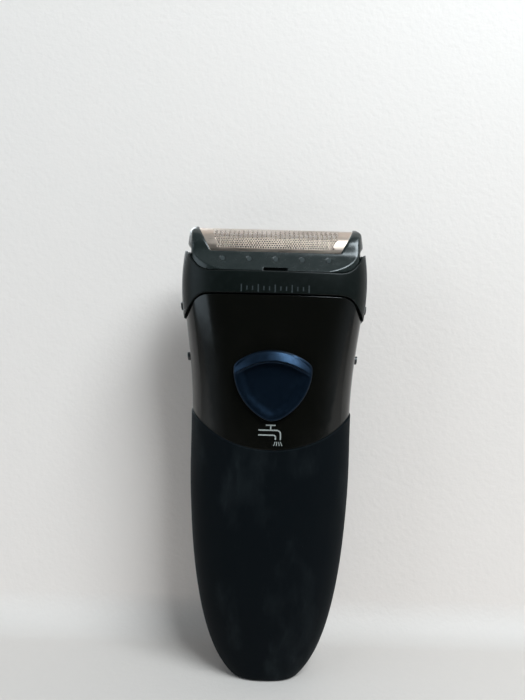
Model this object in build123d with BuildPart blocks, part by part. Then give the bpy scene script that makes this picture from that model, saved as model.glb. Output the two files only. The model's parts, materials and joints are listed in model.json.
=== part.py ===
"""Cordless washable foil shaver, standing on its foot.

Frame: origin at the centre of the flat foot, +Z up towards the foil, +X to the right seen from the
front, and the front face (with the thumb switch) towards -Y. Millimetres throughout.
"""

import os
from math import copysign, cos, pi, radians, sin

from build123d import *

os.makedirs("parts", exist_ok=True)

# ---------------------------------------------------------------- driving dimensions
WALL = 2.0              # housing wall thickness
SLEEVE_PROUD = 0.3      # the soft sleeve stands this far outside the hard covers
SLEEVE_WALL = 1.75      # inner surface of the sleeve, measured in from the covers' surface
LAP_OUTER = 1.85        # the covers' lap lip runs between these two insets
LAP_INNER = 3.0
LAP_REACH = 3.0         # how far the lap lip reaches past the joint line
SEAM = 0.12             # half of a visible seam between two mouldings
FOOT_FLOOR = 2.4        # thickness of the sleeve's floor
FOOT_EDGE = 1.5         # rounding round the foot
RIM_EDGE = 0.4          # rounding of the sleeve's upper rim
REAR_SPLIT_Y = 2.5      # front and rear covers meet on this plane
COVER_GAP = 0.04        # half of the gap between them

SMILE_RADIUS = 33.0     # the arc where the sleeve meets the covers
SMILE_CENTRE_Z = 102.3
HEAD_LINE_Z = 113.4     # straight part of the line where the covers meet the head ring
HEAD_LINE_HALF = 19.0
HEAD_LINE_CORNER = 6.0
HEAD_LINE_SLOPE = 56    # degrees the line falls away at either side
VALLEY_Z = 120.2        # straight part of the line where the head ring meets the foil frame
VALLEY_HALF = 18.5
VALLEY_CORNER = 6.5
VALLEY_SLOPE = 50       # degrees the line climbs at either side
VALLEY_WALL_X = 25.0    # where the climb turns upright

FOIL_CENTRE_Z = 126.7   # axis of the arched foil
FOIL_RADIUS = 8.05
FOIL_THICKNESS = 0.15
CUTTER_RADIUS = 7.7
STROKE = 1.1            # half stroke of the cutter, and throw of the eccentric
FLOAT_TRAVEL = 1.5      # the cutter can sink this far on its spring
SWITCH_TRAVEL = 4.0
TRIMMER_TRAVEL = 12.0

# horizontal sections of the housing: height, half width, front depth, rear depth, squareness
HOUSING_SECTIONS = [
    (0, 10.2, 8.6, 8.8, 2.5),
    (4, 13.6, 9.7, 10.8, 2.5),
    (10, 16.7, 11.0, 13.0, 2.4),
    (20, 19.7, 12.6, 15.4, 2.4),
    (34, 22.1, 13.9, 17.2, 2.45),
    (50, 23.5, 14.7, 18.3, 2.5),
    (68, 23.95, 15.1, 18.5, 2.6),
    (86, 24.3, 15.3, 18.5, 2.7),
    (100, 25.7, 15.3, 18.5, 2.9),
    (112, 27.2, 15.2, 18.5, 3.2),
    (122, 28.0, 14.8, 18.3, 3.4),
]
# horizontal sections of the head ring
RING_SECTIONS = [
    (102, 26.3, 15.1, 13.0, 3.2),
    (108, 27.4, 15.3, 13.0, 3.3),
    (114, 28.0, 15.2, 13.0, 3.35),
    (119, 28.1, 14.9, 13.0, 3.4),
    (128, 27.3, 13.7, 12.7, 3.4),
    (138, 26.8, 12.6, 12.0, 3.4),
]
OUTLINE_POINTS = 24
BIG = 60                # wider than the object, for cutting regions
TOP = 150               # higher than the object


# ---------------------------------------------------------------- shared shapes
def save(piece, name):
    """Labels a finished piece and writes it as one STEP file."""
    piece.part.label = name
    export_step(piece.part, f"parts/{name}.step")


def outline_points(half_width, front, back, squareness):
    """Points of a closed superellipse with its own depth in front and behind."""
    points = []
    for k in range(OUTLINE_POINTS):
        turn = 2 * pi * k / OUTLINE_POINTS
        across = copysign(abs(cos(turn)) ** (2 / squareness), cos(turn))
        along = copysign(abs(sin(turn)) ** (2 / squareness), sin(turn))
        points.append((across * half_width, along * (back if along > 0 else front)))
    return points


def form(sections, inset=0.0):
    """Smooth solid through horizontal sections, with every section pulled in by inset."""
    with BuildPart() as solid:
        for z, half_width, front, back, squareness in sections:
            with BuildSketch(Plane.XY.offset(z)):
                with BuildLine():
                    points = outline_points(half_width - inset, front - inset, back - inset, squareness)
                    Spline(*points, periodic=True)
                make_face()
        loft()
    return solid.part


def block(x_low, x_high, y_low, y_high, z_low, z_high):
    """Plain box between two corners."""
    with BuildPart() as solid:
        with Locations(((x_low + x_high) / 2, (y_low + y_high) / 2, (z_low + z_high) / 2)):
            Box(x_high - x_low, y_high - y_low, z_high - z_low)
    return solid.part


def clipped(solid, region):
    """The share of a solid that lies inside a region."""
    with BuildPart() as result:
        add(solid)
        add(region, mode=Mode.INTERSECT)
    return result.part


def without(solid, region):
    """A solid less a region."""
    with BuildPart() as result:
        add(solid)
        add(region, mode=Mode.SUBTRACT)
    return result.part


def side_block(side, x_near, x_far, y_low, y_high, z_low, z_high):
    """Plain box between two distances from the centre plane, on the side given as -1 or 1."""
    x_low, x_high = sorted((side * x_near, side * x_far))
    return block(x_low, x_high, y_low, y_high, z_low, z_high)


def smile_disc(radius_change=0.0):
    """Everything above the smile-shaped joint line, as a thick disc seen from the front."""
    with BuildPart() as solid:
        with BuildSketch(Plane.XZ):
            with Locations((0, SMILE_CENTRE_Z)):
                Circle(SMILE_RADIUS + radius_change)
            with Locations((0, SMILE_CENTRE_Z + BIG / 2)):
                Rectangle(2 * BIG, BIG)
        extrude(amount=BIG, both=True)
    return solid.part


def above_head_line(rise=0.0):
    """Everything above the line where the covers meet the head ring, shifted up by rise."""
    with BuildPart() as solid:
        with BuildSketch(Plane.XZ):
            with BuildLine():
                flat = Line((0, HEAD_LINE_Z + rise), (HEAD_LINE_HALF, HEAD_LINE_Z + rise))
                corner = JernArc(flat @ 1, flat % 1, HEAD_LINE_CORNER, -HEAD_LINE_SLOPE)
                slope = Line(corner @ 1, corner @ 1 + (corner % 1) * BIG / 4)
                Polyline(slope @ 1, ((slope @ 1).X, TOP), (0, TOP))
                mirror(about=Plane.YZ)
            make_face()
        extrude(amount=BIG, both=True)
    return solid.part


def valley_top(corner):
    """Where the climb that leaves a valley corner reaches the upright wall."""
    heading = corner % 1
    return corner @ 1 + heading * ((VALLEY_WALL_X - (corner @ 1).X) / heading.X)


def below_valley(rise=0.0):
    """Everything below the line where the head ring meets the foil frame, shifted up by rise."""
    with BuildPart() as solid:
        with BuildSketch(Plane.XZ):
            with BuildLine():
                flat = Line((0, VALLEY_Z + rise), (VALLEY_HALF, VALLEY_Z + rise))
                corner = JernArc(flat @ 1, flat % 1, VALLEY_CORNER, VALLEY_SLOPE)
                climb = Line(corner @ 1, valley_top(corner))
                Polyline(climb @ 1, (VALLEY_WALL_X, TOP), (BIG, TOP), (BIG, 0), (0, 0))
                mirror(about=Plane.YZ)
            make_face()
        extrude(amount=BIG, both=True)
    return solid.part


def rounded_prism(half_x, y_low, y_high, corner, z_low, z_high):
    """Upright prism with a rounded rectangular plan."""
    with BuildPart() as solid:
        with BuildSketch(Plane.XY.offset(z_low)):
            with Locations((0, (y_low + y_high) / 2)):
                RectangleRounded(2 * half_x, y_high - y_low, corner)
        extrude(amount=z_high - z_low)
    return solid.part


def coil(mean_radius, wire, z_low, z_high, turns):
    """Round-wire compression spring standing on z_low."""
    rise = z_high - z_low - 2 * wire
    with BuildPart() as solid:
        with BuildLine() as path:
            Helix(pitch=rise / turns, height=rise, radius=mean_radius, center=(0, 0, z_low + wire))
        with BuildSketch(Plane(path.line @ 0, z_dir=path.line % 0)):
            Circle(wire)
        sweep()
    return solid.part


def rods(plane, spots, radius, length):
    """Round bars of one length standing on a plane, at spots in that plane's own coordinates."""
    with BuildPart() as solid:
        with BuildSketch(plane):
            with Locations(*spots):
                Circle(radius)
        extrude(amount=length)
    return solid.part


def rods_along_x(spots, radius, x_low, x_high):
    """Bars along X at (y, z) spots."""
    return rods(Plane.YZ.offset(x_low), spots, radius, x_high - x_low)


def rods_along_y(spots, radius, y_low, y_high):
    """Bars along Y at (x, z) spots."""
    return rods(Plane.XZ.offset(-y_high), spots, radius, y_high - y_low)


def rods_along_z(spots, radius, z_low, z_high):
    """Bars along Z at (x, y) spots."""
    return rods(Plane.XY.offset(z_low), spots, radius, z_high - z_low)


def lead(points, bend, radius):
    """Insulated wire along straight runs that are rounded where they meet."""
    with BuildPart() as solid:
        with BuildLine() as path:
            FilletPolyline(*points, radius=bend)
        with BuildSketch(Plane(path.line @ 0, z_dir=path.line % 0)):
            Circle(radius)
        sweep()
    return solid.part


# ---------------------------------------------------------------- forms that several pieces share
housing = form(HOUSING_SECTIONS)
housing_inner = form(HOUSING_SECTIONS, WALL)
lap_outer = form(HOUSING_SECTIONS, LAP_OUTER)
lap_inner = form(HOUSING_SECTIONS, LAP_INNER)
interior = form(HOUSING_SECTIONS, LAP_INNER + 0.2)
ring_form = form(RING_SECTIONS)

# ---------------------------------------------------------------- grip sleeve
INLET_HALF_X, INLET_HALF_Y = 5.6, 3.9
INLET_CORNER = 2.4
INLET_GAP = 0.1
RIM_LOW_Z = 60.0        # the sleeve's upper rim lies above this height

inlet_opening = rounded_prism(INLET_HALF_X + INLET_GAP, -INLET_HALF_Y - INLET_GAP, INLET_HALF_Y + INLET_GAP,
                              INLET_CORNER, -1, 10)
sleeve_cavity = without(form(HOUSING_SECTIONS, SLEEVE_WALL), block(-BIG, BIG, -BIG, BIG, -1, FOOT_FLOOR))
with BuildPart() as grip_sleeve:
    add(form(HOUSING_SECTIONS, -SLEEVE_PROUD))
    fillet(grip_sleeve.edges().group_by(Axis.Z)[0], FOOT_EDGE)
    add(sleeve_cavity, mode=Mode.SUBTRACT)
    add(smile_disc(SEAM / 2), mode=Mode.SUBTRACT)
    add(inlet_opening, mode=Mode.SUBTRACT)
    rim_edges = grip_sleeve.edges().filter_by(lambda edge: edge.center().Z > RIM_LOW_Z)
    fillet(rim_edges.sort_by(SortBy.LENGTH)[-1], RIM_EDGE)
save(grip_sleeve, "grip_sleeve")

# ---------------------------------------------------------------- covers: shell with its lap lip
SEAL_LOW, SEAL_HIGH = 1.2, 2.4      # the seal's band, measured past the joint line
SEAL_DEPTH = 2.45                   # the groove's floor, measured in from the covers' surface

with BuildPart() as cover_shell:
    add(housing)
    add(housing_inner, mode=Mode.SUBTRACT)
    add(smile_disc(-SEAM / 2), mode=Mode.INTERSECT)
    add(above_head_line(-2 * SEAM), mode=Mode.SUBTRACT)
with BuildPart() as seal_band:
    add(lap_outer)
    add(form(HOUSING_SECTIONS, SEAL_DEPTH), mode=Mode.SUBTRACT)
    add(smile_disc(SEAL_HIGH), mode=Mode.INTERSECT)
    add(smile_disc(SEAL_LOW), mode=Mode.SUBTRACT)
save(seal_band, "lap_seal")
with BuildPart() as covers:
    add(lap_outer)
    add(lap_inner, mode=Mode.SUBTRACT)
    add(smile_disc(LAP_REACH), mode=Mode.INTERSECT)
    add(smile_disc(-LAP_REACH), mode=Mode.SUBTRACT)
    add(seal_band.part, mode=Mode.SUBTRACT)
    add(cover_shell.part)

# ---------------------------------------------------------------- front cover
SWITCH_LOW_Z, SWITCH_TOP_Z = 77.4, 97.7
STEM_HALF_X, STEM_LOW_Z, STEM_HIGH_Z = 3.0, 83.0, 89.0
STEM_GAP = 0.3
COVER_FACE_Y = -15.3                # the front cover's surface behind the switch
DISH_RADIUS, DISH_DEPTH, DISH_Z = 43.0, 0.8, 94.5    # shallow hollow that the switch sits in
STUD_RADIUS, STUD_Z, STUD_PROUD = 1.3, 95.1, 1.0
STUD_SEAT = 1.2                     # depth of a stud's hole in the cover
STUD_FIT = 0.02

stud_bars = rods_along_x([(0, STUD_Z)], STUD_RADIUS, -BIG, BIG)
with BuildPart() as dish:
    add(rods_along_x([(COVER_FACE_Y - DISH_RADIUS + DISH_DEPTH, DISH_Z)], DISH_RADIUS, -BIG, BIG))
with BuildPart() as front_cover:
    add(covers.part)
    add(block(-BIG, BIG, REAR_SPLIT_Y - COVER_GAP, BIG, 0, TOP), mode=Mode.SUBTRACT)
    add(dish.part, mode=Mode.SUBTRACT)
    add(block(-STEM_HALF_X - STEM_GAP, STEM_HALF_X + STEM_GAP, -20, -8,
              STEM_LOW_Z - STEM_GAP, STEM_HIGH_Z + SWITCH_TRAVEL + STEM_GAP), mode=Mode.SUBTRACT)
    add(without(stud_bars, form(HOUSING_SECTIONS, STUD_SEAT)), mode=Mode.SUBTRACT)
save(front_cover, "front_cover")

with BuildPart() as side_studs:
    add(rods_along_x([(0, STUD_Z)], STUD_RADIUS - STUD_FIT, -BIG, BIG))
    add(form(HOUSING_SECTIONS, STUD_SEAT - STUD_FIT), mode=Mode.SUBTRACT)
    add(form(HOUSING_SECTIONS, -STUD_PROUD), mode=Mode.INTERSECT)
save(side_studs, "side_studs")

# ---------------------------------------------------------------- rear cover, with the trimmer's pocket
POCKET_HALF_X, POCKET_Y, POCKET_LOW_Z = 20.4, 11.6, 84.0
POCKET_WALL = 1.6
POCKET_PLAY = 0.4
TRIMMER_HALF_X, TRIMMER_Y = 17.0, 13.4
KNOB_HALF_X, KNOB_LOW_Z, KNOB_HIGH_Z = 5.0, 90.0, 97.0
KNOB_NECK_HALF_X, KNOB_NECK_LOW_Z, KNOB_NECK_HIGH_Z = 2.4, 91.2, 95.8
SCREW_X, SCREW_Z = 16.0, 78.0
SCREW_SEAT_Y, SCREW_PAD_Y = 14.2, 9.9
SCREW_PAD_RADIUS, SCREW_BOSS_RADIUS = 3.0, 2.0      # round each screw, on the cover and on the chassis
SCREW_HEAD_RADIUS, SCREW_RADIUS = 1.9, 1.1
SCREW_HEAD_HEIGHT, SCREW_TIP_Y = 1.3, 6.0
SCREW_PLAY = 0.15

screw_spots = [(-SCREW_X, SCREW_Z), (SCREW_X, SCREW_Z)]
with BuildPart() as pocket_wall:
    add(form(HOUSING_SECTIONS, WALL / 2))
    add(block(-POCKET_HALF_X, POCKET_HALF_X, POCKET_Y, BIG, POCKET_LOW_Z, TOP), mode=Mode.INTERSECT)
    add(above_head_line(-2 * SEAM), mode=Mode.SUBTRACT)
with BuildPart() as screw_pads:
    add(rods_along_y(screw_spots, SCREW_PAD_RADIUS, SCREW_PAD_Y, BIG))
    add(form(HOUSING_SECTIONS, WALL / 4), mode=Mode.INTERSECT)
with BuildPart() as pocket:
    add(block(-TRIMMER_HALF_X - POCKET_PLAY, TRIMMER_HALF_X + POCKET_PLAY, TRIMMER_Y - 0.3, BIG,
              POCKET_LOW_Z + POCKET_WALL, TOP))
    add(form(HOUSING_SECTIONS, WALL - 0.05), mode=Mode.INTERSECT)
with BuildPart() as rear_cover:
    add(covers.part)
    add(block(-BIG, BIG, -BIG, REAR_SPLIT_Y + COVER_GAP, 0, TOP), mode=Mode.SUBTRACT)
    add(pocket_wall.part)
    add(screw_pads.part)
    add(pocket.part, mode=Mode.SUBTRACT)
    add(block(-KNOB_NECK_HALF_X - STEM_GAP, KNOB_NECK_HALF_X + STEM_GAP, TRIMMER_Y, BIG,
              KNOB_NECK_LOW_Z - STEM_GAP, KNOB_NECK_HIGH_Z + STEM_GAP + TRIMMER_TRAVEL), mode=Mode.SUBTRACT)
    add(rods_along_y(screw_spots, SCREW_RADIUS + SCREW_PLAY, 9, BIG), mode=Mode.SUBTRACT)
    add(rods_along_y(screw_spots, SCREW_HEAD_RADIUS + SCREW_PLAY, SCREW_SEAT_Y, BIG), mode=Mode.SUBTRACT)
save(rear_cover, "rear_cover")

with BuildPart() as cover_screws:
    add(rods_along_y(screw_spots, SCREW_HEAD_RADIUS, SCREW_SEAT_Y, SCREW_SEAT_Y + SCREW_HEAD_HEIGHT))
    add(rods_along_y(screw_spots, SCREW_RADIUS, SCREW_TIP_Y, SCREW_SEAT_Y))
    for x, z in screw_spots:
        for half_x, half_z in ((1.2, 0.25), (0.25, 1.2)):
            add(block(x - half_x, x + half_x, SCREW_SEAT_Y + 0.5, BIG, z - half_z, z + half_z),
                mode=Mode.SUBTRACT)
save(cover_screws, "cover_screws")

# ---------------------------------------------------------------- thumb switch
SHIELD_SHOULDER = (11.35, 93.4)     # the shield's widest corner
SHIELD_FLANK = (9.2, 84.6)
SHIELD_TIP = (3.2, SWITCH_LOW_Z + 1.1)
SHIELD_CORNER = 1.4
LIP_Y, LIP_DROP = -17.9, 3.3        # the lip's crest, and where its steep face lands below the top edge
SLIDER_FRONT_Y, SLIDER_BACK_Y = -12.5, -11.75
SLIDER_HALF_X, SLIDER_LOW_Z, SLIDER_HIGH_Z = 5.5, 81.0, 91.0
MEMBRANE_HALF_X, MEMBRANE_LOW_Z, MEMBRANE_HIGH_Z = 6.5, 79.5, 96.5      # the seal round the stem


def mirrored(point):
    """The same point on the other side of the centre plane."""
    return (-point[0], point[1])


def switch_prism():
    """Everything inside the shield outline of the thumb switch, seen from the front."""
    with BuildPart() as solid:
        with BuildSketch(Plane.XZ) as outline:
            with BuildLine():
                crown = ThreePointArc(mirrored(SHIELD_SHOULDER), (0, SWITCH_TOP_Z), SHIELD_SHOULDER)
                right = ThreePointArc(crown @ 1, SHIELD_FLANK, SHIELD_TIP)
                tip = ThreePointArc(right @ 1, (0, SWITCH_LOW_Z), mirrored(SHIELD_TIP))
                ThreePointArc(tip @ 1, mirrored(SHIELD_FLANK), crown @ 0)
            make_face()
            fillet(outline.vertices().group_by(Axis.Y)[-1], SHIELD_CORNER)
        extrude(amount=BIG / 2)
    return solid.part


with BuildPart() as power_switch:
    with BuildSketch(Plane.YZ):
        with BuildLine():
            back = Line((COVER_FACE_Y + 4, SWITCH_LOW_Z - 1), (COVER_FACE_Y + 4, SWITCH_TOP_Z + 1))
            lip = Polyline(back @ 1, (COVER_FACE_Y - 0.9, SWITCH_TOP_Z + 1),
                           (COVER_FACE_Y - 1.3, SWITCH_TOP_Z - 0.4), (LIP_Y, SWITCH_TOP_Z - 2.7),
                           (COVER_FACE_Y - 1.0, SWITCH_TOP_Z - LIP_DROP))
            hollow = ThreePointArc(lip @ 1, (COVER_FACE_Y - 0.7, 87), (COVER_FACE_Y - 1.1, SWITCH_LOW_Z - 1))
            Line(hollow @ 1, back @ 0)
        make_face()
    extrude(amount=20, both=True)
    add(switch_prism(), mode=Mode.INTERSECT)
    add(form(HOUSING_SECTIONS, -0.15), mode=Mode.SUBTRACT)
    add(block(-STEM_HALF_X, STEM_HALF_X, COVER_FACE_Y - 0.9, SLIDER_FRONT_Y - 0.02, STEM_LOW_Z, STEM_HIGH_Z))
save(power_switch, "power_switch")

with BuildPart() as switch_slider:
    add(block(-SLIDER_HALF_X, SLIDER_HALF_X, SLIDER_FRONT_Y, SLIDER_BACK_Y, SLIDER_LOW_Z, SLIDER_HIGH_Z))
    add(block(-3.2, 3.2, SLIDER_BACK_Y, SLIDER_BACK_Y + 0.25, SLIDER_HIGH_Z - 2.5, SLIDER_HIGH_Z - 0.5))
save(switch_slider, "switch_slider")

with BuildPart() as switch_seal:
    add(form(HOUSING_SECTIONS, WALL + 0.02))
    add(form(HOUSING_SECTIONS, WALL + 0.5), mode=Mode.SUBTRACT)
    add(block(-MEMBRANE_HALF_X, MEMBRANE_HALF_X, -20, -8, MEMBRANE_LOW_Z, MEMBRANE_HIGH_Z),
        mode=Mode.INTERSECT)
    add(block(-STEM_HALF_X - STEM_GAP / 2, STEM_HALF_X + STEM_GAP / 2, -20, -8,
              STEM_LOW_Z - STEM_GAP / 2, STEM_HIGH_Z + SWITCH_TRAVEL + STEM_GAP / 2), mode=Mode.SUBTRACT)
save(switch_seal, "switch_seal")

# ---------------------------------------------------------------- head ring
OPENING_X, OPENING_Y, OPENING_CORNER = 23.6, 10.8, 3.0
LEDGE_X, LEDGE_Y = 21.8, 9.5
DECK_LOW_Z, DECK_TOP_Z = 113.4, 115.0
DECK_GAP = 0.15
RING_TOP_Z = 125.8
BUTTON_FRONT_Y, BUTTON_REAR_Y = -8.2, 7.4
BUTTON_LOW_Z = 109.2
BUTTON_INNER_X, BUTTON_INNER_TOP_Z = 25.6, 125.9
BUTTON_OUTER_X, BUTTON_OUTER_TOP_Z = 30.0, 128.7    # the sloping top, carried past the surface
POCKET_WALL_X = 24.9
POST_Z, POST_RADIUS = 115.0, 1.5
PIP_Z, PIP_PROUD = 110.6, 0.9

posts = rods_along_x([(0, POST_Z)], POST_RADIUS + 0.1, -BIG, BIG)
with BuildPart() as spigot:
    add(form(HOUSING_SECTIONS, WALL + 0.15))
    add(block(-BIG, BIG, -BIG, POCKET_Y - 0.3, 108, DECK_LOW_Z), mode=Mode.INTERSECT)
with BuildPart() as head_ring:
    add(ring_form)
    add(above_head_line(2 * SEAM), mode=Mode.INTERSECT)
    add(below_valley(-SEAM / 2), mode=Mode.INTERSECT)
    add(block(-BIG, BIG, -BIG, BIG, 100, RING_TOP_Z), mode=Mode.INTERSECT)
    add(spigot.part)
    add(rounded_prism(LEDGE_X, -LEDGE_Y, LEDGE_Y, OPENING_CORNER, 100, TOP), mode=Mode.SUBTRACT)
    add(rounded_prism(OPENING_X, -OPENING_Y, OPENING_Y, OPENING_CORNER, DECK_LOW_Z, TOP), mode=Mode.SUBTRACT)
    for side in (-1, 1):
        add(side_block(side, POCKET_WALL_X, BIG, BUTTON_FRONT_Y - DECK_GAP, BUTTON_REAR_Y + DECK_GAP,
                       BUTTON_LOW_Z - 0.2, TOP), mode=Mode.SUBTRACT)
    add(posts, mode=Mode.SUBTRACT)
save(head_ring, "head_ring")

# ---------------------------------------------------------------- release buttons and their springs
SPRING_LOW_Z, SPRING_HIGH_Z = 118.0, 124.0
SPRING_FOOT_X, SPRING_CREST_X, SPRING_STRIP = 24.95, 25.35, 0.2

with BuildPart() as button_bodies:
    with BuildSketch(Plane.XZ):
        with BuildLine():
            Polyline((BUTTON_INNER_X, BUTTON_LOW_Z), (BUTTON_OUTER_X, BUTTON_LOW_Z),
                     (BUTTON_OUTER_X, BUTTON_OUTER_TOP_Z), (BUTTON_INNER_X, BUTTON_INNER_TOP_Z), close=True)
        make_face()
        mirror(about=Plane.YZ)
    extrude(amount=BIG, both=True)
    add(block(-BIG, BIG, BUTTON_FRONT_Y, BUTTON_REAR_Y, 0, TOP), mode=Mode.INTERSECT)
    add(form(RING_SECTIONS, 0.03), mode=Mode.INTERSECT)
    add(above_head_line(0.6), mode=Mode.INTERSECT)
with BuildPart() as button_pips:
    add(rods_along_x([(0, PIP_Z)], STUD_RADIUS, -BIG, BIG))
    add(form(RING_SECTIONS, -PIP_PROUD), mode=Mode.INTERSECT)

for side, name in ((-1, "release_button_left"), (1, "release_button_right")):
    with BuildPart() as release_button:
        add(button_bodies.part)
        add(button_pips.part)
        add(side_block(side, BUTTON_INNER_X, BIG, -BIG, BIG, 0, TOP), mode=Mode.INTERSECT)
        add(rods_along_x([(0, POST_Z)], POST_RADIUS, *sorted((side * 24.2, side * 26.5))))
    save(release_button, name)

for side, name in ((-1, "release_spring_left"), (1, "release_spring_right")):
    with BuildPart() as release_spring:
        with BuildSketch(Plane.XZ):
            middle_z = (SPRING_LOW_Z + SPRING_HIGH_Z) / 2
            with BuildLine():
                outer = ThreePointArc((side * (SPRING_FOOT_X + SPRING_STRIP), SPRING_LOW_Z),
                                      (side * (SPRING_CREST_X + SPRING_STRIP), middle_z),
                                      (side * (SPRING_FOOT_X + SPRING_STRIP), SPRING_HIGH_Z))
                inner = ThreePointArc((side * SPRING_FOOT_X, SPRING_LOW_Z), (side * SPRING_CREST_X, middle_z),
                                      (side * SPRING_FOOT_X, SPRING_HIGH_Z))
                Line(outer @ 0, inner @ 0)
                Line(outer @ 1, inner @ 1)
            make_face()
        extrude(amount=3, both=True)
    save(release_spring, name)

# ---------------------------------------------------------------- foil frame
FRAME_TOP_Z, FRAME_TOP_Y = 126.4, 9.3
FRAME_FRONT_Y, FRAME_REAR_Y = -13.8, 12.8
ARCH_TOP_Z = 135.25                 # crown of the shoulders that carry the foil's ends
ARCH_END_X = 24.1
STAKE_PITCH, STAKE_Z = 7.7, 123.9
STAKE_RADIUS, STAKE_HOLE_RADIUS = 0.7, 0.75
CAVITY_X, CAVITY_Y = 22.4, 8.2
SLOT_HALF_X, SLOT_LOW_Z, SLOT_HEIGHT = 3.5, VALLEY_Z + 0.1, 0.9
SHOULDER_BLEND = 8.0                # radius where the sloping front runs into the shoulders

stake_spots = [(STAKE_PITCH * k, STAKE_Z) for k in range(-2, 3)]
stake_holes = rods_along_y(stake_spots, STAKE_HOLE_RADIUS, -BIG, BIG)
arch_cavity = clipped(rods_along_x([(0, FOIL_CENTRE_Z)], CAVITY_Y, -ARCH_END_X, ARCH_END_X),
                      block(-BIG, BIG, -BIG, BIG, FOIL_CENTRE_Z - 0.6, TOP))
with BuildPart() as frame_side_view:
    with BuildSketch(Plane.YZ) as side_outline:
        with BuildLine():
            Polyline((-FRAME_TOP_Y, FRAME_TOP_Z), (FRAME_FRONT_Y, VALLEY_Z), (FRAME_FRONT_Y, 110),
                     (FRAME_REAR_Y, 110), (FRAME_REAR_Y, VALLEY_Z), (FRAME_TOP_Y, FRAME_TOP_Z))
            ThreePointArc((FRAME_TOP_Y, FRAME_TOP_Z), (0, ARCH_TOP_Z), (-FRAME_TOP_Y, FRAME_TOP_Z))
        make_face()
        fillet(side_outline.vertices().group_by(Axis.Y)[-1], SHOULDER_BLEND)
    extrude(amount=BIG, both=True)
with BuildPart() as foil_frame:
    with BuildSketch(Plane.XZ):
        with BuildLine():
            flat = Line((0, VALLEY_Z + SEAM / 2), (VALLEY_HALF, VALLEY_Z + SEAM / 2))
            corner = JernArc(flat @ 1, flat % 1, VALLEY_CORNER, VALLEY_SLOPE)
            shelf = Polyline(corner @ 1, valley_top(corner), (VALLEY_WALL_X, 127.2), (26.7, 129.1))
            flank = ThreePointArc(shelf @ 1, (26.3, 131.8), (24.9, 134.4))
            tip = ThreePointArc(flank @ 1, (24.1, 135.2), (23.2, 134.9))
            Polyline(tip @ 1, (19.1, FRAME_TOP_Z), (0, FRAME_TOP_Z))
            mirror(about=Plane.YZ)
        make_face()
    extrude(amount=20, both=True)
    add(frame_side_view.part, mode=Mode.INTERSECT)
    add(form(RING_SECTIONS, 0.5), mode=Mode.INTERSECT)
    add(rounded_prism(OPENING_X - 2 * DECK_GAP, -OPENING_Y + 2 * DECK_GAP, OPENING_Y - 2 * DECK_GAP,
                      OPENING_CORNER - 0.1, 117, VALLEY_Z + 1))
    add(block(-CAVITY_X, CAVITY_X, -CAVITY_Y, CAVITY_Y, 110, FOIL_CENTRE_Z + 1), mode=Mode.SUBTRACT)
    add(arch_cavity, mode=Mode.SUBTRACT)
    add(stake_holes, mode=Mode.SUBTRACT)
    add(block(-SLOT_HALF_X, SLOT_HALF_X, -20, FRAME_FRONT_Y + 1.6, SLOT_LOW_Z, SLOT_LOW_Z + SLOT_HEIGHT),
        mode=Mode.SUBTRACT)
save(foil_frame, "foil_frame")

# ---------------------------------------------------------------- foil and its stakes
FOIL_LOW_Z = 121.6

with BuildPart() as foil:
    with BuildSketch(Plane.YZ):
        with Locations((0, FOIL_CENTRE_Z)):
            Circle(FOIL_RADIUS)
            Circle(FOIL_RADIUS - FOIL_THICKNESS, mode=Mode.SUBTRACT)
            with Locations((0, -BIG / 2)):
                Rectangle(BIG, BIG, mode=Mode.SUBTRACT)
    extrude(amount=ARCH_END_X - 0.2, both=True)
    for side in (-1, 1):
        skin = sorted((side * FOIL_RADIUS, side * (FOIL_RADIUS - FOIL_THICKNESS)))
        add(block(-CAVITY_X + 0.2, CAVITY_X - 0.2, *skin, FOIL_LOW_Z, FOIL_CENTRE_Z))
    add(stake_holes, mode=Mode.SUBTRACT)
save(foil, "foil")

with BuildPart() as foil_stakes:
    add(rods_along_y(stake_spots, STAKE_RADIUS, -11.4, -FOIL_RADIUS + 0.2))
    add(rods_along_y(stake_spots, STAKE_RADIUS, FOIL_RADIUS - 0.2, 10.6))
save(foil_stakes, "foil_stakes")

# ---------------------------------------------------------------- cutter block
CUTTER_HALF_X = 20.3
CUTTER_CHEEK, CHEEK_RADIUS = 0.6, 7.3
CORE_RADIUS = 5.5                   # the carrier's rounded back, inside the blades
CARRIER_HALF_Y, CARRIER_LOW_Z = 6.9, 121.3
BLADE_PITCH, BLADE_THICKNESS, BLADE_COUNT = 1.4, 0.3, 29
BLADE_INNER_RADIUS = 5.6
ROD_RADIUS, ROD_ARM, ROD_ANGLE = 0.6, 6.7, 55
POST_TOP_RADIUS, POST_TOP_Z = 2.0, 125.0
SPRING_POCKET_RADIUS, SPRING_POCKET_Z = 3.5, 123.4

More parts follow.
